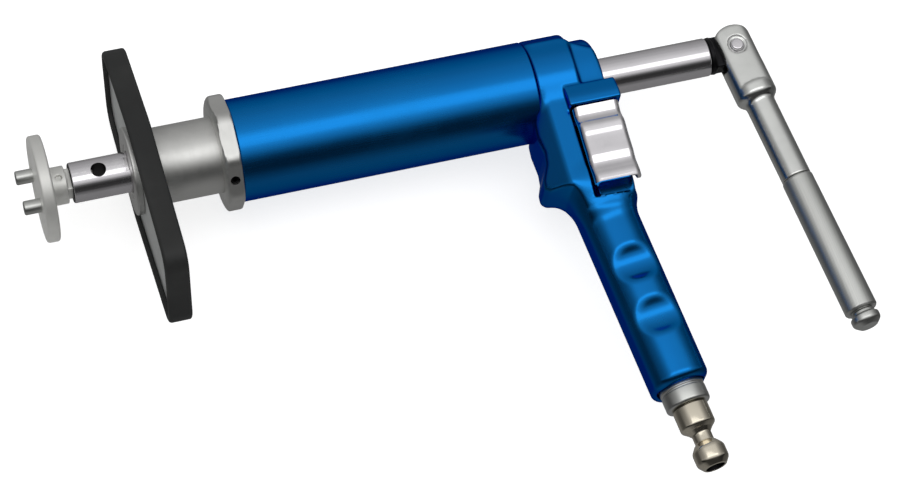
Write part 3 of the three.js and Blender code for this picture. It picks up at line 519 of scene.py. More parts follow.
def metal_finish(name, colour, roughness, marks=None, mark_depth=0.0, grain_depth=0.0, smudge=0.08,
                 metallic=1.0):
    """Bare or plated metal with its machining marks, grain, smudges and a few scratches. Depths are in
    millimetres, and marks is how the marks' noise is stretched."""
    finish = Finish(name, colour, metallic, roughness)
    touched = finish.effect("handling", Size=30.0)["Smudge"]
    finish.tint(touched, [c * 0.72 for c in colour], 0.6)
    finish.roughen(touched, smudge)
    if marks:
        streaks = finish.effect("turning_marks", finish.stretched(marks), Size=1800.0)
        finish.raise_by(streaks["Height"], mark_depth)
        finish.roughen(streaks["Streak"], 0.06)
    if grain_depth:
        finish.raise_by(finish.effect("grain", Size=1300.0)["Height"], grain_depth)
    finish.raise_by(finish.effect("scratches")["Scratch"], -0.003)
    finish.tint(finish.effect("edge_wear_and_sheen")["Wear"], [min(1.0, c * 1.35) for c in colour], 0.4)
    return finish.done()


def knurled_finish(name, colour, roughness, angle):
    """Satin steel with a fine diamond knurl: two sets of crossing waves round the handle's own axis."""
    finish = Finish(name, colour, 1.0, roughness)
    for lean in (-1, 1):
        wave = finish.tree.nodes.new("ShaderNodeTexWave")
        wave.inputs["Scale"].default_value = 620.0
        wave.inputs["Distortion"].default_value = 0.3
        finish.tree.links.new(finish.stretched((1, 1, lean), (0, 0, -angle)), wave.inputs["Vector"])
        wave.bands_direction = "DIAGONAL"
        finish.raise_by(wave.outputs["Fac"], 0.02)
    finish.raise_by(finish.effect("grain", Size=1700.0)["Height"], 0.012)
    finish.roughen(finish.effect("handling", Size=34.0)["Smudge"], 0.12)
    return finish.done()


def rubber_finish(name, colour, roughness):
    """Moulded rubber: matt, finely grained, a little dusty."""
    finish = Finish(name, colour, 0.0, roughness)
    dust = finish.effect("handling", Size=24.0)["Smudge"]
    finish.tint(dust, (0.10, 0.10, 0.095), 0.25)
    finish.tint(finish.effect("edge_wear_and_sheen")["Wear"], (0.09, 0.09, 0.09), 0.4)
    finish.raise_by(finish.effect("grain", Size=1000.0)["Height"], 0.03)
    finish.roughen(dust, 0.1)
    return finish.done()


HANDLE_LEAN = -82.5  # the handle's direction from +X at rest, in degrees

METALS = {
    "satin_aluminium": ((0.74, 0.74, 0.72), 0.34, AROUND_X, 0.006, 0.004),
    "pale_disc": ((0.80, 0.80, 0.77), 0.42, None, 0, 0.02, 0.08, 0.6),
    "polished_steel": ((0.80, 0.78, 0.81), 0.08, AROUND_X, 0.0008),
    "satin_steel": ((0.62, 0.63, 0.61), 0.30, None, 0, 0.006),
    "forged_steel": ((0.80, 0.81, 0.79), 0.20, None, 0, 0.003),
    "chrome_steel": ((0.86, 0.84, 0.87), 0.08, None, 0, 0, 0.05),
    "nickel": ((0.76, 0.70, 0.58), 0.12, None, 0, 0, 0.1),
    "black_oxide": ((0.022, 0.022, 0.024), 0.42, None, 0, 0.004),
    "plate_grey": ((0.66, 0.68, 0.67), 0.34, ROUND_PLATE, 0.006, 0, 0.08, 0.8),
    "bearing_bronze": ((0.45, 0.28, 0.11), 0.38, AROUND_X, 0.004),
    "spring_steel": ((0.40, 0.40, 0.40), 0.3),
}
RUBBERS = {"black_rubber": ((0.012, 0.013, 0.013), 0.55), "seal_rubber": ((0.012, 0.012, 0.012), 0.6)}
FINISHES = {
    "blue_anodised": blue_finish("blue_anodised", 0.004, None),
    "blue_barrel": blue_finish("blue_barrel", 0.002, ALONG_X),
    "knurled_steel": knurled_finish("knurled_steel", (0.62, 0.63, 0.61), 0.34, HANDLE_LEAN),
    **{name: metal_finish(name, *values) for name, values in METALS.items()},
    **{name: rubber_finish(name, *values) for name, values in RUBBERS.items()},
}


# ---- adaptor


def adaptor():
    """A disc with a boss and a square shank behind it, and the two drive pins in its face."""
    low, high = corners("adaptor_disc")
    radius, back = high[1], high[0]
    thickness, boss_end, boss, half_square = 5.3, 11.8, 7.75, 4.75

    def field(x, y, z):
        out = np.hypot(y, z)
        disc = capped(x, out, 0, thickness, radius, 1.1)
        body = joined(disc, capped(x, out, 1, boss_end, boss, 0.5), 0.9)
        shank = brick(x, y, z, (boss_end - 2, -half_square, -half_square), (back, half_square, half_square),
                      0.5)
        dimple_x = (thickness + boss_end) / 2 + 0.3
        dimple = capped(z, np.hypot(x - dimple_x, y), boss - 1.6, boss + 2, 1.3, 0.2)
        return cut_by(joined(body, shank, 0.2), dimple, 0.3)

    shape = skin(field, (0, -radius, -radius), (back, radius, radius), 0.45)
    piece("adaptor_body", shape, "adaptor_disc")
    for side in ("upper", "lower"):
        low, high = corners(f"drive_pin_{side}")
        middle, pin = (low + high) / 2, (high[1] - low[1]) / 2
        profile = [[low[0], 0], [low[0], pin, 0.7], [high[0], pin], [high[0], 0]]
        pin_shape = moved(turned(profile, FINE // 2), to=(0, middle[1], middle[2]))
        piece(f"drive_stud_{side}", pin_shape, f"drive_pin_{side}")


# ---- spindle, rear shaft and knuckle


def spindle():
    """The bright spindle with its cross hole and square socket, thinner inside the rear shaft."""
    front, back, radius = length_and_radius("spindle")
    shoulder = corners("front_thrust_washer")[0][0] - 0.1
    waist, hole_x, hole, socket, depth = 6.0, front + 11.4, 3.1, 4.85, 9.5
    body = turned([[front, 0], [front, radius, 0.8], [shoulder, radius, 0.3], [shoulder, waist],
                   [back, waist, 0.4], [back, 0]])
    cutter = turned([[-12, 0], [-12, hole], [12, hole], [12, 0]], FINE // 2)
    cross = moved(cutter, (0, -90, 0), (hole_x, 0, 0))
    square = moved(prism(4, socket * math.sqrt(2), front - 1, front + depth), (45, 0, 0))
    shaft = piece("bright_spindle", carved(body, cross, square), "spindle")
    # The cross hole's walls and the square socket take black oxide, partly as oxide and partly as painted shade
    # inside them.
    shade_and_oxide_in_hole(shaft, lambda x, y, z: (np.hypot(y, z) < radius - 0.2) & (x < front + 16))


def rear_shaft():
    """The bright rear shaft, hollow in front for the spindle's waist and behind for the knuckle's shank."""
    front, back, radius = length_and_radius("rear_shaft")
    shank = corners("swivel_knuckle")[0][0] - 0.1
    waist_end, waist, shank_radius, web_hole = corners("spindle")[1][0] + 0.5, 6.1, 4.8, 3
    piece("bright_rear_shaft", turned([
        [front, waist], [front, radius, 0.4], [back, radius, 0.7], [back, shank_radius],
        [shank, shank_radius], [shank, web_hole], [waist_end, web_hole], [waist_end, waist],
    ]), "rear_shaft")


def swivel_knuckle():
    """The black eye that the handle hinges on: a turned shank and shoulder, and a flat tang."""
    low, high = corners("swivel_knuckle")
    shaft_back = corners("rear_shaft")[1][0] + 0.3
    hinge = np.array(JOINTS["handle_fold"]["pos_m"]) / MM
    tang, eye, shank, shoulder = 3.5, 7.8, 4.7, 7.7

    def field(x, y, z):
        out = np.hypot(y, z)
        body = joined(capped(x, out, low[0], shaft_back + 1, shank, 0.4),
                      capped(x, out, shaft_back, shaft_back + 2, shoulder, 0.4), 0.2)
        bar = brick(x, y, z, (shaft_back + 1, -6.9, -tang), (hinge[0], 6.9, tang), 0.5)
        boss = capped(z, np.hypot(x - hinge[0], y), -tang, tang, eye, 0.5)
        body = joined(body, joined(bar, boss, 1.0), 1.0)
        return cut_by(body, capped(z, np.hypot(x - hinge[0], y), -20, 20, 2.85, 0.2), 0.3)

    piece("hinge_knuckle", skin(field, low, high, 0.4), "swivel_knuckle")


# ---- reaction plate and nose

PLATE_TURN = -17.6
PLATE = {"up": 52.7, "down": 68.4, "middle": 27.6, "end": 20.7, "corner": 9.0}


def plate_loop(inset):
    """The plate's outline drawn in by a distance, as points (across, along)."""
    middle, end = PLATE["middle"] - inset, PLATE["end"] - inset
    up, down = PLATE["up"] - inset, PLATE["down"] - inset
    round_end, round_middle = PLATE["corner"] - inset / 2, 30.0
    return rounded_line([
        [middle, 0, round_middle], [end, up, round_end], [-end, up, round_end],
        [-middle, 0, round_middle], [-end, -down, round_end], [end, -down, round_end],
    ])


def round_plate(section):
    """A closed section [x, inset] carried round the plate's outline, then turned about the spindle."""
    line = rounded_line(section)
    loops = np.stack([plate_loop(inset) for inset in line[:, 1]])
    x = np.broadcast_to(line[:, :1], loops.shape[:2])
    points = np.stack([x, loops[..., 1], loops[..., 0]], -1)
    faces = grid_faces(*loops.shape[:2], wrap_rows=True).tolist()
    return moved((points.reshape(-1, 3), faces), (PLATE_TURN, 0, 0))


def reaction_plate():
    """A grey steel plate inside a black moulded rim."""
    front, back = corners("plate_rim")[0][0], corners("plate_rim")[1][0]
    core_front, core_back = corners("plate_core")[0][0], corners("plate_core")[1][0]
    lip, cover, gap = 2.6, 1.2, 0.1
    rim = round_plate([
        [front, 0, 1.3], [back, 0, 1.3], [back, lip, 0.8], [core_back + gap, lip, 0.3],
        [core_back + gap, cover], [core_front - gap, cover], [core_front - gap, lip, 0.3], [front, lip, 0.8],
    ])
    piece("moulded_rim", rim, "plate_rim")

    loop = plate_loop(cover + gap)
    angle = np.arctan2(loop[:, 1], loop[:, 0])
    hole = 13.1 * np.stack([np.cos(angle), np.sin(angle)], -1)
    sides = [(core_front, loop), (core_back, loop), (core_back, hole), (core_front, hole)]
    points = np.concatenate([np.column_stack([np.full(len(ring), x), ring[:, 1], ring[:, 0]])
                             for x, ring in sides])
    faces = grid_faces(len(sides), len(loop), wrap_rows=True).tolist()
    piece("steel_plate", moved((points, faces), (PLATE_TURN, 0, 0)), "plate_core", sharp=25)


def nose():
    """The satin nose tube with the pockets of its bushes and seals, and the ring that holds the plate."""
    front, back, gland = length_and_radius("nose_tube")
    ring_front, ring_back, ring_radius = length_and_radius("nose_ring")
    plate_back = corners("plate_core")[1][0] + 0.1
    barrel_front = corners("barrel")[0][0] + 0.3
    bush_front, bush_back, bush = length_and_radius("front_bush")
    inner_front, _, _ = length_and_radius("gland_bush")
    seal_front, seal_back, _ = length_and_radius("barrel_seal")
    wiper_front, wiper_back, wiper = length_and_radius("wiper_seal")
    throat, thread, journal, outside, groove, gap = 8.65, 11, 13, 15.65, 16.05, 0.1
    piece("satin_nose_tube", turned([
        [front, throat], [front, thread, 0.3], [ring_back + gap, thread], [ring_back + gap, journal],
        [plate_back, journal], [plate_back, outside, 0.4], [barrel_front, outside], [barrel_front, gland],
        [seal_front - gap, gland], [seal_front - gap, groove], [seal_back + gap, groove],
        [seal_back + gap, gland], [back, gland], [back, bush + gap], [inner_front - gap, bush + gap],
        [inner_front - gap, throat], [bush_back + gap, throat], [bush_back + gap, bush + gap],
        [bush_front - gap, bush + gap], [bush_front - gap, throat], [wiper_back + gap, throat],
        [wiper_back + gap, wiper + gap], [wiper_front - gap, wiper + gap], [wiper_front - gap, throat],
    ]), "nose_tube")
    piece("plate_retaining_ring", turned([
        [ring_front, thread + gap, 0.3], [ring_front, ring_radius, 0.8],
        [ring_back, ring_radius, 0.4], [ring_back, thread + gap],
    ]), "nose_ring")


def lock_collar():
    """An eight-sided nut: at each angle its radius is the flats' distance over the cosine of the angle from
    the nearest flat's middle, but no more than a cone leaves near each end."""
    front, back = length_and_radius("lock_collar")[:2]
    half_flats, sides, turn, facets, bore, chamfer = 22.5, 8, math.radians(11), 256, 15.75, 1.2
    length = back - front
    angle = np.linspace(0, 2 * math.pi, facets, endpoint=False)
    wedge = 2 * math.pi / sides
    from_flat = (angle - turn + wedge / 2) % wedge - wedge / 2
    octagon = half_flats / np.cos(from_flat)
    corner = half_flats / math.cos(wedge / 2)
    x = np.array([0, 0, 0.35, 0.7, 1.1, 1.6, length / 2, length - 1.0, length - 0.5, length - 0.2, length,
                  length])
    cone = corner - 0.45 - chamfer * np.clip(1 - x / 1.6, 0, 1) ** 2 * 1.6
    cone = cone - 0.5 * np.clip((x - length + 1.0), 0, 1)
    softness = 0.5
    mix = np.clip(0.5 + 0.5 * (cone[:, None] - octagon) / softness, 0, 1)
    radius = cone[:, None] * (1 - mix) + octagon * mix - softness * mix * (1 - mix)
    edge = np.interp(x, [0, 0.35, 0.7, length - 0.5, length - 0.2, length], [0.45, 0.1, 0, 0, 0.08, 0.4])
    radius = radius - edge[:, None]
    radius[0] = radius[-1] = bore
    x = np.broadcast_to((front + x)[:, None], radius.shape)
    points = np.stack([x, radius * np.cos(angle), radius * np.sin(angle)], -1).reshape(-1, 3)
    nut = points, grid_faces(len(radius), facets, wrap_rows=True).tolist()

    low, high = corners("collar_set_screw")
    middle = (low + high) / 2
    angle_x = math.degrees(math.atan2(middle[2], middle[1]))
    screw, reach, outer = 1.9, half_flats + 2, half_flats - 0.9

    def outward(shape):
        return moved(shape, (angle_x, 0, 0), (middle[0], 0, 0))

    hole = turned([[bore - 2, 0], [bore - 2, screw + 0.1], [reach, screw + 0.1], [reach, 0]], 48)
    hole = moved(hole, (0, 0, 90))
    piece("lock_nut", carved(nut, outward(hole)), "lock_collar", sharp=28)
    plug = turned([[bore + 0.3, 0], [bore + 0.3, screw], [outer, screw, 0.3], [outer, 0]], 48)
    key = prism(6, 1.1, outer - 2, outer + 1)
    piece("set_screw", outward(moved(carved(plug, key), (0, 0, 90))), "collar_set_screw")


# ---- barrel and head


def barrel():
    """A drawn tube with rounded rims, turned about the spindle's axis."""
    front, back, radius = length_and_radius("barrel")
    bore = corners("piston")[1][1] + 0.05
    profile = [[front, bore], [front, radius, 0.6], [back, radius, 0.6], [back, bore]]
    piece("blue_barrel", turned(profile, 192), "barrel", "blue_barrel")


GRIP = {"x": 214.0, "lean": math.radians(6.25), "top": 46.0, "end": 140.4, "half_width": 11.5,
        "half_depth": 14.5, "corner": 11.2}
SCALLOPS = {"first": 88.5, "pitch": 23.74, "count": 2, "radius": 9.6, "depth": 3.7}
FACE, POCKET = 18.0, 14.0  # how far the near face and the trigger's pocket stand from the spindle's axis


def grip_places(x, y):
    """How far a point lies down the grip's centre line, and across it."""
    across = (x - GRIP["x"]) * math.cos(GRIP["lean"]) + y * math.sin(GRIP["lean"])
    along = (x - GRIP["x"]) * math.sin(GRIP["lean"]) - y * math.cos(GRIP["lean"])
    return along, across


def grip_section(x, y, z):
    """Distance to the grip's rounded oblong section, carried without end along its centre line."""
    width, depth, corner = GRIP["half_width"], GRIP["half_depth"], GRIP["corner"]
    return rounded(np.abs(grip_places(x, y)[1]) - (width - corner), np.abs(z) - (depth - corner), corner)


def grip_field(x, y, z):
    """The grip: its section ended with rounded edges, and hollowed across the front for the fingers."""
    along, depth, section = grip_places(x, y)[0], GRIP["half_depth"], grip_section(x, y, z)
    middle, half = (GRIP["top"] + GRIP["end"]) / 2, (GRIP["end"] - GRIP["top"]) / 2
    edge, lip = 3.2, 1.6
    bar = rounded(section + edge, np.abs(along - middle) - (half - edge), edge)
    centre = depth + SCALLOPS["radius"] - SCALLOPS["depth"]
    for i in range(SCALLOPS["count"]):
        hollow = np.hypot(along - SCALLOPS["first"] - i * SCALLOPS["pitch"], z - centre) - SCALLOPS["radius"]
        bar = cut_by(bar, hollow, lip)
    return bar


def head_side(side):
    """The head block's side view, with the finger stop at its lower front corner."""
    return [[205.0, 13], [219, 13], [side - 1.5, 6], [side, -5], [side, -57.1], [225.5, -60.5], [212.0, -61],
            [209.4, -55.2], [207.4, -51.9], [204.0, -50.2], [199.5, -49.2], [197.7, -46.9], [198.0, -43.5],
            [200.4, -38.0], [201.1, -33.0], [200.2, -25.0], [200.6, -20.0], [204.2, -11.5]]


def head_casting():
    """The head and grip in one casting. Its fields are the turned head, its rear cap, the block that carries
    the trigger, the hood over it, and the grip, with fillets where they meet. The block's faces draw in by a
    smooth step to the grip's section. The trigger's pocket, the shaft's bore, the valve's bore and the inlet
    are cut out of them."""
    low, high = corners("head_and_grip")
    head_front = corners("barrel")[1][0] + 0.3
    spigot_front, head_back = low[0], corners("rear_bush")[1][0] + 3.5
    cylinder_back, radius = head_front + 17.5, corners("barrel")[1][1]
    cap_radius, spigot = 17.3, corners("piston")[1][1]
    trigger_low, trigger_high = corners("trigger")
    left, right, top = trigger_low[0], trigger_high[0], trigger_high[1]
    side = right - 1.8
    trigger_end = trigger_low[1]
    shaft_room = corners("rear_shaft")[1][1] + 0.4
    seat_start, seat_end, seat = corners("rear_rod_seal")[0][0] - 0.3, corners("rear_bush")[1][0] + 0.1, 10.1
    valve = (corners("valve_stem")[0] + corners("valve_stem")[1]) / 2
    hood_top, hood_edge, hood_out = -9.0, -19.5, high[2]
    taper_top, taper_length, taper, heel, block_end = -49.0, 12, 3.6, -51.0, -61.0
    seat_along, recess, thread = GRIP["end"] - 3.0, 10.0, 6.6
    plan = [[spigot_front, -6], [head_front + 3, -FACE], [side, -FACE], [side, FACE], [head_front + 3, FACE],
            [spigot_front, 6]]

    def field(x, y, z):
        out = np.hypot(y, z)
        body = capped(x, out, head_front, cylinder_back, radius, 1.4)
        body = joined(body, capped(x, out, head_front + 6, head_back, cap_radius, 3.4), 1.6)
        body = np.minimum(body, capped(x, out, spigot_front, head_front + 2, spigot, 0.5))
        side_view = outline_distance(x, y, head_side(side))
        plan_view = outline_distance(x, z, plan) + 0 * y
        block = common(side_view - 0.2, plan_view, 1.3)
        fall = np.clip((taper_top - y) / taper_length, 0, 1)
        block = common(block, (z - FACE + taper * fall * fall * (3 - 2 * fall)) * 0.95, 2.0)
        block = common(block, (heel - 0.75 * (z + 6) - y) * 0.8, 2.5)
        block = common(block, (grip_section(x, y, z) - np.maximum(y - block_end, 0)) * 0.7, 4.0)
        body = joined(body, block, 2.2)
        body = joined(body, grip_field(x, y, z), 8.0)
        ramp = (z - hood_out + 0.4 * (y - hood_edge - 3) * (y > hood_edge + 3)) * 0.95
        hood = brick(x, y, z, (left - 0.9, hood_edge, POCKET - 2), (right + 1.4, hood_top, hood_out), 0.8)
        body = joined(body, common(hood, ramp, 1.2), 0.9)
        pocket = brick(x, y, z, (left - 0.5, trigger_end - 3.4, POCKET), (right + 40, top + 0.6, 60), 0.5)
        slots = [brick(x, y, z, (left - 0.5, trigger_end - 2.2, 5.3), (left + 1.8, top + 0.6, 60), 0.3),
                 brick(x, y, z, (side, trigger_end - 2.2, 5.3), (right + 40, top + 0.6, 60), 0.3)]
        for tool in [pocket, *slots]:
            body = cut_by(body, tool, 0.7)
        shaft = np.minimum(out - shaft_room, capped(x, out, seat_start, seat_end, seat, 0.1))
        body = cut_by(body, shaft, 0.5)
        body = cut_by(body, capped(z, np.hypot(x - valve[0], y - valve[1]), -40, 40, 5.1, 0.1), 0.5)
        along, across = grip_places(x, y)
        down = np.hypot(across, z)
        mouth = np.minimum(capped(along, down, seat_along, seat_along + 30, recess, 0.4),
                           capped(along, down, seat_along - 19, seat_along + 30, thread, 0.1))
        return cut_by(body, mouth, 0.9)

    shape = skin(field, (spigot_front, low[1], -radius), (high[0], radius, hood_out), 0.62)
    piece("blue_casting", shape, "head_and_grip", sharp=70)


# ---- trigger


def smooth_through(knots, steps):
    """A Catmull-Rom curve through knots (a, b): each stretch is a cubic whose slope at a knot is half the
    step between the knots beside it."""
    points = np.array(knots, float)
    padded = np.vstack([2 * points[0] - points[1], points, 2 * points[-1] - points[-2]])
    share = np.linspace(0, 1, steps, endpoint=False)[None, :, None]
    p0, p1, p2, p3 = (padded[i:len(padded) - 3 + i, None] for i in range(4))
    curve = 0.5 * (2 * p1 + (p2 - p0) * share + (2 * p0 - 5 * p1 + 4 * p2 - p3) * share ** 2
                   + (3 * p1 - p0 - 3 * p2 + p3) * share ** 3)
    return np.vstack([curve.reshape(-1, 2), points[-1:]])


def trigger():
    """A pressed chrome trigger. Its section is a U with rounded shoulders, carried down a face that dips at
    the top, crowns, dips again and ends in a lip. The inside is the outside moved in along its normals by the
    sheet's thickness."""
    low, high = corners("trigger")
    left, right, top, length = low[0], high[0], high[1], high[1] - low[1]
    thick, shoulder, flange_low = 1.5, 2.9, low[2]
    face = smooth_through([
        (0.0, 3.6), (2.0, 3.0), (4.0, 2.5), (6.0, 2.9), (8.0, 4.0), (9.6, 4.45), (11.5, 4.3), (14.5, 3.85),
        (18.0, 3.75), (22.0, 3.7), (24.5, 3.1), (26.5, 2.9), (29.0, 3.5), (31.5, 4.1), (length - 0.3, 3.9),
    ], 8)
    down, height = face[:, 0], FACE + face[:, 1]
    half, middle = (right - left) / 2, (left + right) / 2
    bend = np.linspace(0, math.pi / 2, 9)
    rim_x = half - shoulder + shoulder * np.sin(bend)
    rim_drop = shoulder * (1 - np.cos(bend))
    inner = np.linspace(0, half - shoulder, 7)[:-1]
    x = np.concatenate([inner, rim_x, np.full(5, half)])
    drop = np.concatenate([np.zeros(len(inner)), rim_drop, np.full(5, shoulder)])
    leg = np.concatenate([np.zeros(len(inner) + len(rim_x)), np.linspace(0, 1, 6)[1:]])
    x = np.concatenate([-x[:0:-1], x])
    drop, leg = np.concatenate([drop[:0:-1], drop]), np.concatenate([leg[:0:-1], leg])
    foot = np.interp(down, [0, length - 9, length], [flange_low, flange_low, FACE - 0.6])
    lowered = height[:, None] - drop
    z = lowered * (1 - leg) + foot[:, None] * leg
    grid = np.stack(np.broadcast_arrays(middle + x, (top - down)[:, None], z), -1)
    normal = np.cross(np.gradient(grid, axis=1), -np.gradient(grid, axis=0))
    normal /= np.linalg.norm(normal, axis=2, keepdims=True)
    normal *= np.where(normal[..., 2:].mean() < 0, -1, 1)
    under = grid - normal * thick
    under[..., 2] = np.maximum(under[..., 2], flange_low)
    loop = np.concatenate([grid, under[:, ::-1]], axis=1)
    rows, columns = loop.shape[:2]
    faces = grid_faces(rows, columns).tolist()
    near = np.arange(grid.shape[1] - 1)
    far = columns - 1 - near
    first = np.stack([near, near + 1, far - 1, far], -1)
    last = (first + (rows - 1) * columns)[:, ::-1]
    faces += first.tolist() + last.tolist()
    piece("chrome_trigger", (loop.reshape(-1, 3), faces), "trigger", sharp=50)


# ---- valve, rear bush and small pieces


def small_turned_pieces():
    """The trigger's pin, the valve's cap and the rear bush."""
    low, high = corners("trigger_pin")
    middle, pin = (low + high) / 2, (high[1] - low[1]) / 2
    shape = turned([[low[0], 0], [low[0], pin, 0.3], [high[0], pin, 0.3], [high[0], 0]], 48)
    piece("pivot_pin", moved(shape, to=(0, middle[1], middle[2])), "trigger_pin")

    low, high = corners("valve_cap")
    middle = (low + high) / 2
    start, end, head = low[2], high[2], (high[0] - low[0]) / 2
    under_head, plug, key = start + 1.3, 5.0, 2.3
    cap = turned([[start, 0], [start, head, 0.7], [under_head, head, 0.2], [under_head, plug], [end, plug],
                  [end, 0]])
    socket = prism(6, key, start - 1, start + 2.8)
    upright = moved(carved(cap, socket), (0, -90, 0), (middle[0], middle[1], 0))
    piece("valve_plug", upright, "valve_cap")

    front, back, outer = length_and_radius("rear_bush")
    fit = corners("rear_shaft")[1][1] + 0.1
    piece("bronze_rear_bush", turned([[front, fit], [front, outer], [back, outer, 0.2], [back, fit, 0.5]]),
          "rear_bush")


# ---- air inlet


def air_inlet():
    """The inlet bush, its washer and the air plug, all turned on the grip's centre line."""
    seat = GRIP["end"] - 3.0
    thread, bore, collar = 6.5, 4.6, 9.2
    washer_start = seat + 0.3
    collar_start = washer_start + 1.3
    collar_end = collar_start + 9.4

    def down_grip(shape):
        return moved(shape, (0, 0, math.degrees(GRIP["lean"]) - 90), (GRIP["x"], 0, 0))

    washer = [[washer_start, thread + 0.1], [washer_start, collar, 0.2], [washer_start + 1, collar, 0.2],
              [washer_start + 1, thread + 0.1]]
    piece("sealing_washer", down_grip(turned(washer)), "inlet_washer")
    piece("steel_inlet_bush", down_grip(turned([
        [seat - 17, bore], [seat - 17, thread, 0.5], [collar_start, thread], [collar_start, collar, 0.5],
        [collar_start + 2.1, collar, 0.2], [collar_start + 2.4, collar - 0.35, 0.2],
        [collar_start + 3.0, collar - 0.35, 0.2], [collar_start + 3.3, collar, 0.2],
        [collar_end, collar, 1.2], [collar_end, bore, 0.4],
    ])), "inlet_bush")

    start = collar_end + 0.3
    body, neck, bulb, mouth, hole, end = 7.3, 4.0, 6.8, 4.0, 2.6, start + 26.6
    body_end, neck_end = start + 12.0, start + 16.0
    plug = piece("nickel_air_plug", down_grip(turned([
        [start - 12, hole], [start - 12, bore - 0.1, 0.4], [start, bore - 0.1], [start, body, 0.7],
        [body_end - 3.2, body, 1.4], [body_end - 1.6, neck + 1.4, 0.6], [body_end, neck, 1.0],
        [neck_end - 0.3, neck, 0.9], [neck_end + 0.2, bulb - 2.0, 1.0], [neck_end + 2.8, bulb, 2.8],
        [end - 2.6, bulb, 2.8], [end, mouth + 0.7, 0.8], [end, mouth, 0.3], [end - 5, mouth - 0.4, 0.8],
        [end - 6, hole],
    ])), "air_plug")

    def in_mouth(x, y, z):
        along, across = grip_places(x, y)
        return (np.hypot(across, z) < mouth) & (along > end - 8)

    # The inside of the mouth takes black oxide, partly as oxide and partly as painted shade in the recess.
    shade_and_oxide_in_hole(plug, in_mouth)


# ---- winding handle


def winding_handle():
    """A fork that hinges on the knuckle, its pin, a knurled sleeve and an end cap, leaning back from -Y."""
    hinge = np.array(JOINTS["handle_fold"]["pos_m"]) / MM
    head, dome, flat, flat_end, shoulder, neck = 8.8, 9.8, 7.0, 17.5, 21.4, 6.3
    sleeve_start, cap_length, length, core = 62.0, 7.0, 132.0, 4.5
    sleeve, sleeve_end, eye, slot, slot_end = 6.6, 6.9, 2.75, 3.75, 8.6
    core_end = length - cap_length

    def in_place(shape):
        return moved(shape, (0, 0, HANDLE_LEAN), hinge)

    def field(x, y, z):
        out = np.hypot(y, z)
        body = capped(x, out, -dome - 4, shoulder + 2.6, head, 2.2)
        body = joined(body, capped(x, out, shoulder - 4, sleeve_start, neck, 0.3), 3.0)
        body = joined(body, capped(x, out, sleeve_start - 2, core_end, core, 0.3), 0.2)
        body = common(body, np.where(x < 0, np.hypot(x, y), np.abs(y)) - dome, 0.8)
        over = np.abs(z) - flat
        body = cut_by(body, np.maximum(-over, x - flat_end), 2.2)
        body = cut_by(body, brick(x, y, z, (-40, -40, -slot), (slot_end, 40, slot), 0.6), 0.5)
        hole = np.hypot(x, y)
        body = cut_by(body, hole - eye - 0.1, 0.3)
        rim = np.abs(z) - (flat - 0.9) + np.maximum(hole - 4.0, 0)
        return cut_by(body, np.maximum(hole - 4.1, -rim), 0.4)

    fork = skin(field, (-dome, -head, -head), (core_end, head, head), 0.5)
    piece("fork", in_place(fork), "handle_fork", "forged_steel", sharp=60)

    pin_end = corners("hinge_pin")[1][2]
    pin = turned([[-pin_end, 0], [-pin_end, eye, 0.9], [pin_end, eye, 0.9], [pin_end, 0]], 64)
    piece("bright_hinge_pin", moved(pin, (0, -90, 0), hinge), "hinge_pin")

    start, end = sleeve_start + 0.3, core_end - 0.3
    piece("knurled_sleeve", in_place(turned([
        [start, core + 0.1], [start, sleeve - 0.2, 0.5], [start + 0.8, sleeve, 0.3],
        [end - 0.8, sleeve_end, 0.3], [end, sleeve_end - 0.5, 0.2], [end, core + 0.1],
    ])), "handle_sleeve", "knurled_steel")
    cap = core_end + 0.3
    piece("end_cap", in_place(turned([
        [cap, 0], [cap, sleeve_end - 1.9, 0.3], [cap + 1.3, sleeve_end - 1.9, 0.5],
        [cap + 1.9, sleeve_end - 0.8, 0.8], [length - 2.2, sleeve_end - 0.8, 2.0],
        [length, sleeve_end - 3.2, 1.2], [length, 0],
    ])), "handle_end_cap")


# ---- make everything


def dress_frame_nodes():
    """The small and inner pieces keep their CAD meshes and take their finishes."""
    for name, obj in frame["nodes"].items():
        finish = "spring_steel" if name.endswith("_spring") else SLOT_OF[name]
        for slot in obj.material_slots:
            slot.material = FINISHES[finish]


for make in (dress_frame_nodes, adaptor, spindle, rear_shaft, swivel_knuckle, reaction_plate, nose,
             lock_collar, barrel, head_casting, trigger, small_turned_pieces, air_inlet, winding_handle):
    make()


# ---- studio and camera


def floor():
    """A plain pale floor just below the tool's lowest point."""
    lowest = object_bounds()[0][2] - 0.0005
    half = 6.0
    points = np.array([[x * half, y * half, lowest] for x, y in ((-1, -1), (1, -1), (1, 1), (-1, 1))])
    obj = raw_object("floor", (points, [[0, 1, 2, 3]]))
    material = bpy.data.materials.new("pale_floor")
    material.use_nodes = True
    shader = material.node_tree.nodes["Principled BSDF"]
    shader.inputs["Base Color"].default_value = (0.86, 0.86, 0.86, 1)
    shader.inputs["Roughness"].default_value = 0.9
    shader.inputs["Specular IOR Level"].default_value = 0.1
    shader.inputs["Emission Color"].default_value = (1, 1, 1, 1)
    shader.inputs["Emission Strength"].default_value = 0.72
    obj.data.materials.append(material)
    obj.visible_glossy = False
    obj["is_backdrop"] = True


def panel(name, centre, aim, size, power):
    """A soft rectangular light that faces a point."""
    data = bpy.data.lights.new(name, "AREA")
    data.shape, data.size, data.size_y, data.energy = "RECTANGLE", *size, power
    obj = bpy.data.objects.new(name, data)
    obj.location = centre
    way = np.array(aim) - np.array(centre)
    obj.rotation_mode = "QUATERNION"
    obj.rotation_quaternion = Vector(way).to_track_quat("-Z", "Y")
    bpy.context.scene.collection.objects.link(obj)


# The room's brightness round the spindle's direction, by degrees from straight up towards -Y.
ROOM = [(-180, 0.20), (-120, 0.22), (-90, 0.34), (-60, 0.44), (-38, 0.58), (-15, 0.74), (5, 0.88), (20, 0.86),
        (32, 0.64), (42, 0.30), (50, 0.08), (62, 0.03), (80, 0.04), (94, 0.14), (110, 0.22), (180, 0.20)]


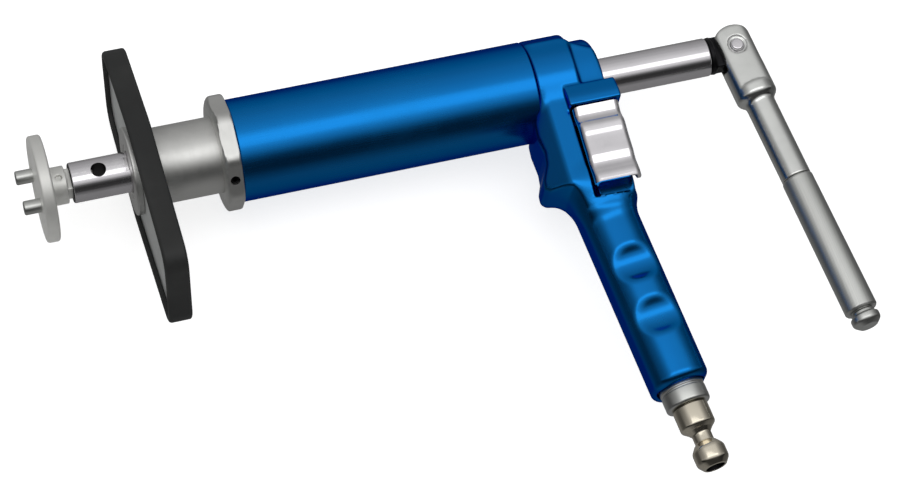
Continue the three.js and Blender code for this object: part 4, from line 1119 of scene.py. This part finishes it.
def room():
    """An even room whose brightness follows ROOM and falls off towards the tool's two ends."""
    world = bpy.data.worlds.new("room")
    world.use_nodes = True
    tree = world.node_tree
    place = tree.nodes.new("ShaderNodeTexCoord").outputs["Generated"]
    split = tree.nodes.new("ShaderNodeSeparateXYZ")
    tree.links.new(place, split.inputs[0])
    x, y, z = split.outputs
    angle = arithmetic(tree, "ARCTAN2", arithmetic(tree, "MULTIPLY", y, -1.0), z)
    share = arithmetic(tree, "MULTIPLY_ADD", angle, 0.5 / math.pi, 0.5)
    ramp = tree.nodes.new("ShaderNodeValToRGB")
    tree.links.new(share, ramp.inputs[0])
    stops = ramp.color_ramp.elements
    for degrees, level in ROOM[1:-1]:
        stops.new(0.5 + degrees / 360).color = (level, level, level, 1)
    for end, (degrees, level) in ((0, ROOM[0]), (-1, ROOM[-1])):
        stops[end].color = (level, level, level, 1)
    ramp.color_ramp.interpolation = "EASE"
    ends = ramp_between(tree, arithmetic(tree, "ABSOLUTE", x), 0.5, 0.97)
    strength = arithmetic(tree, "MULTIPLY_ADD", ends, -0.65, 1.0)
    background = tree.nodes["Background"]
    tree.links.new(ramp.outputs[0], background.inputs["Color"])
    tree.links.new(strength, background.inputs["Strength"])
    bpy.context.scene.world = world


def studio():
    """One long overhead panel, a little towards the front, in a plain room."""
    panel("main_panel", (0.16, -0.16, 1.2), (0.16, -0.05, 0.0), (1.8, 0.55), 2.0)
    room()


def camera():
    """The camera's right, up and backward directions in the tool's frame, and where it stands."""
    right, up, back = (0.9611, -0.2585, 0.0971), (0.1996, 0.8933, 0.4028), (-0.1908, -0.3677, 0.9101)
    place = np.array((-86.0, -533.9, 1167.4)) * MM
    data = bpy.data.cameras.new("camera")
    data.sensor_fit, data.sensor_width, data.lens = "HORIZONTAL", 36.0, 125.2
    data.clip_start, data.clip_end = 0.05, 50
    obj = bpy.data.objects.new("camera", data)
    turn = Matrix((right, up, back)).transposed()
    obj.matrix_world = Matrix.Translation(place) @ turn.to_4x4()
    bpy.context.scene.collection.objects.link(obj)
    bpy.context.scene.camera = obj


floor()
studio()
camera()
bpy.context.scene.view_settings.view_transform = "Standard"
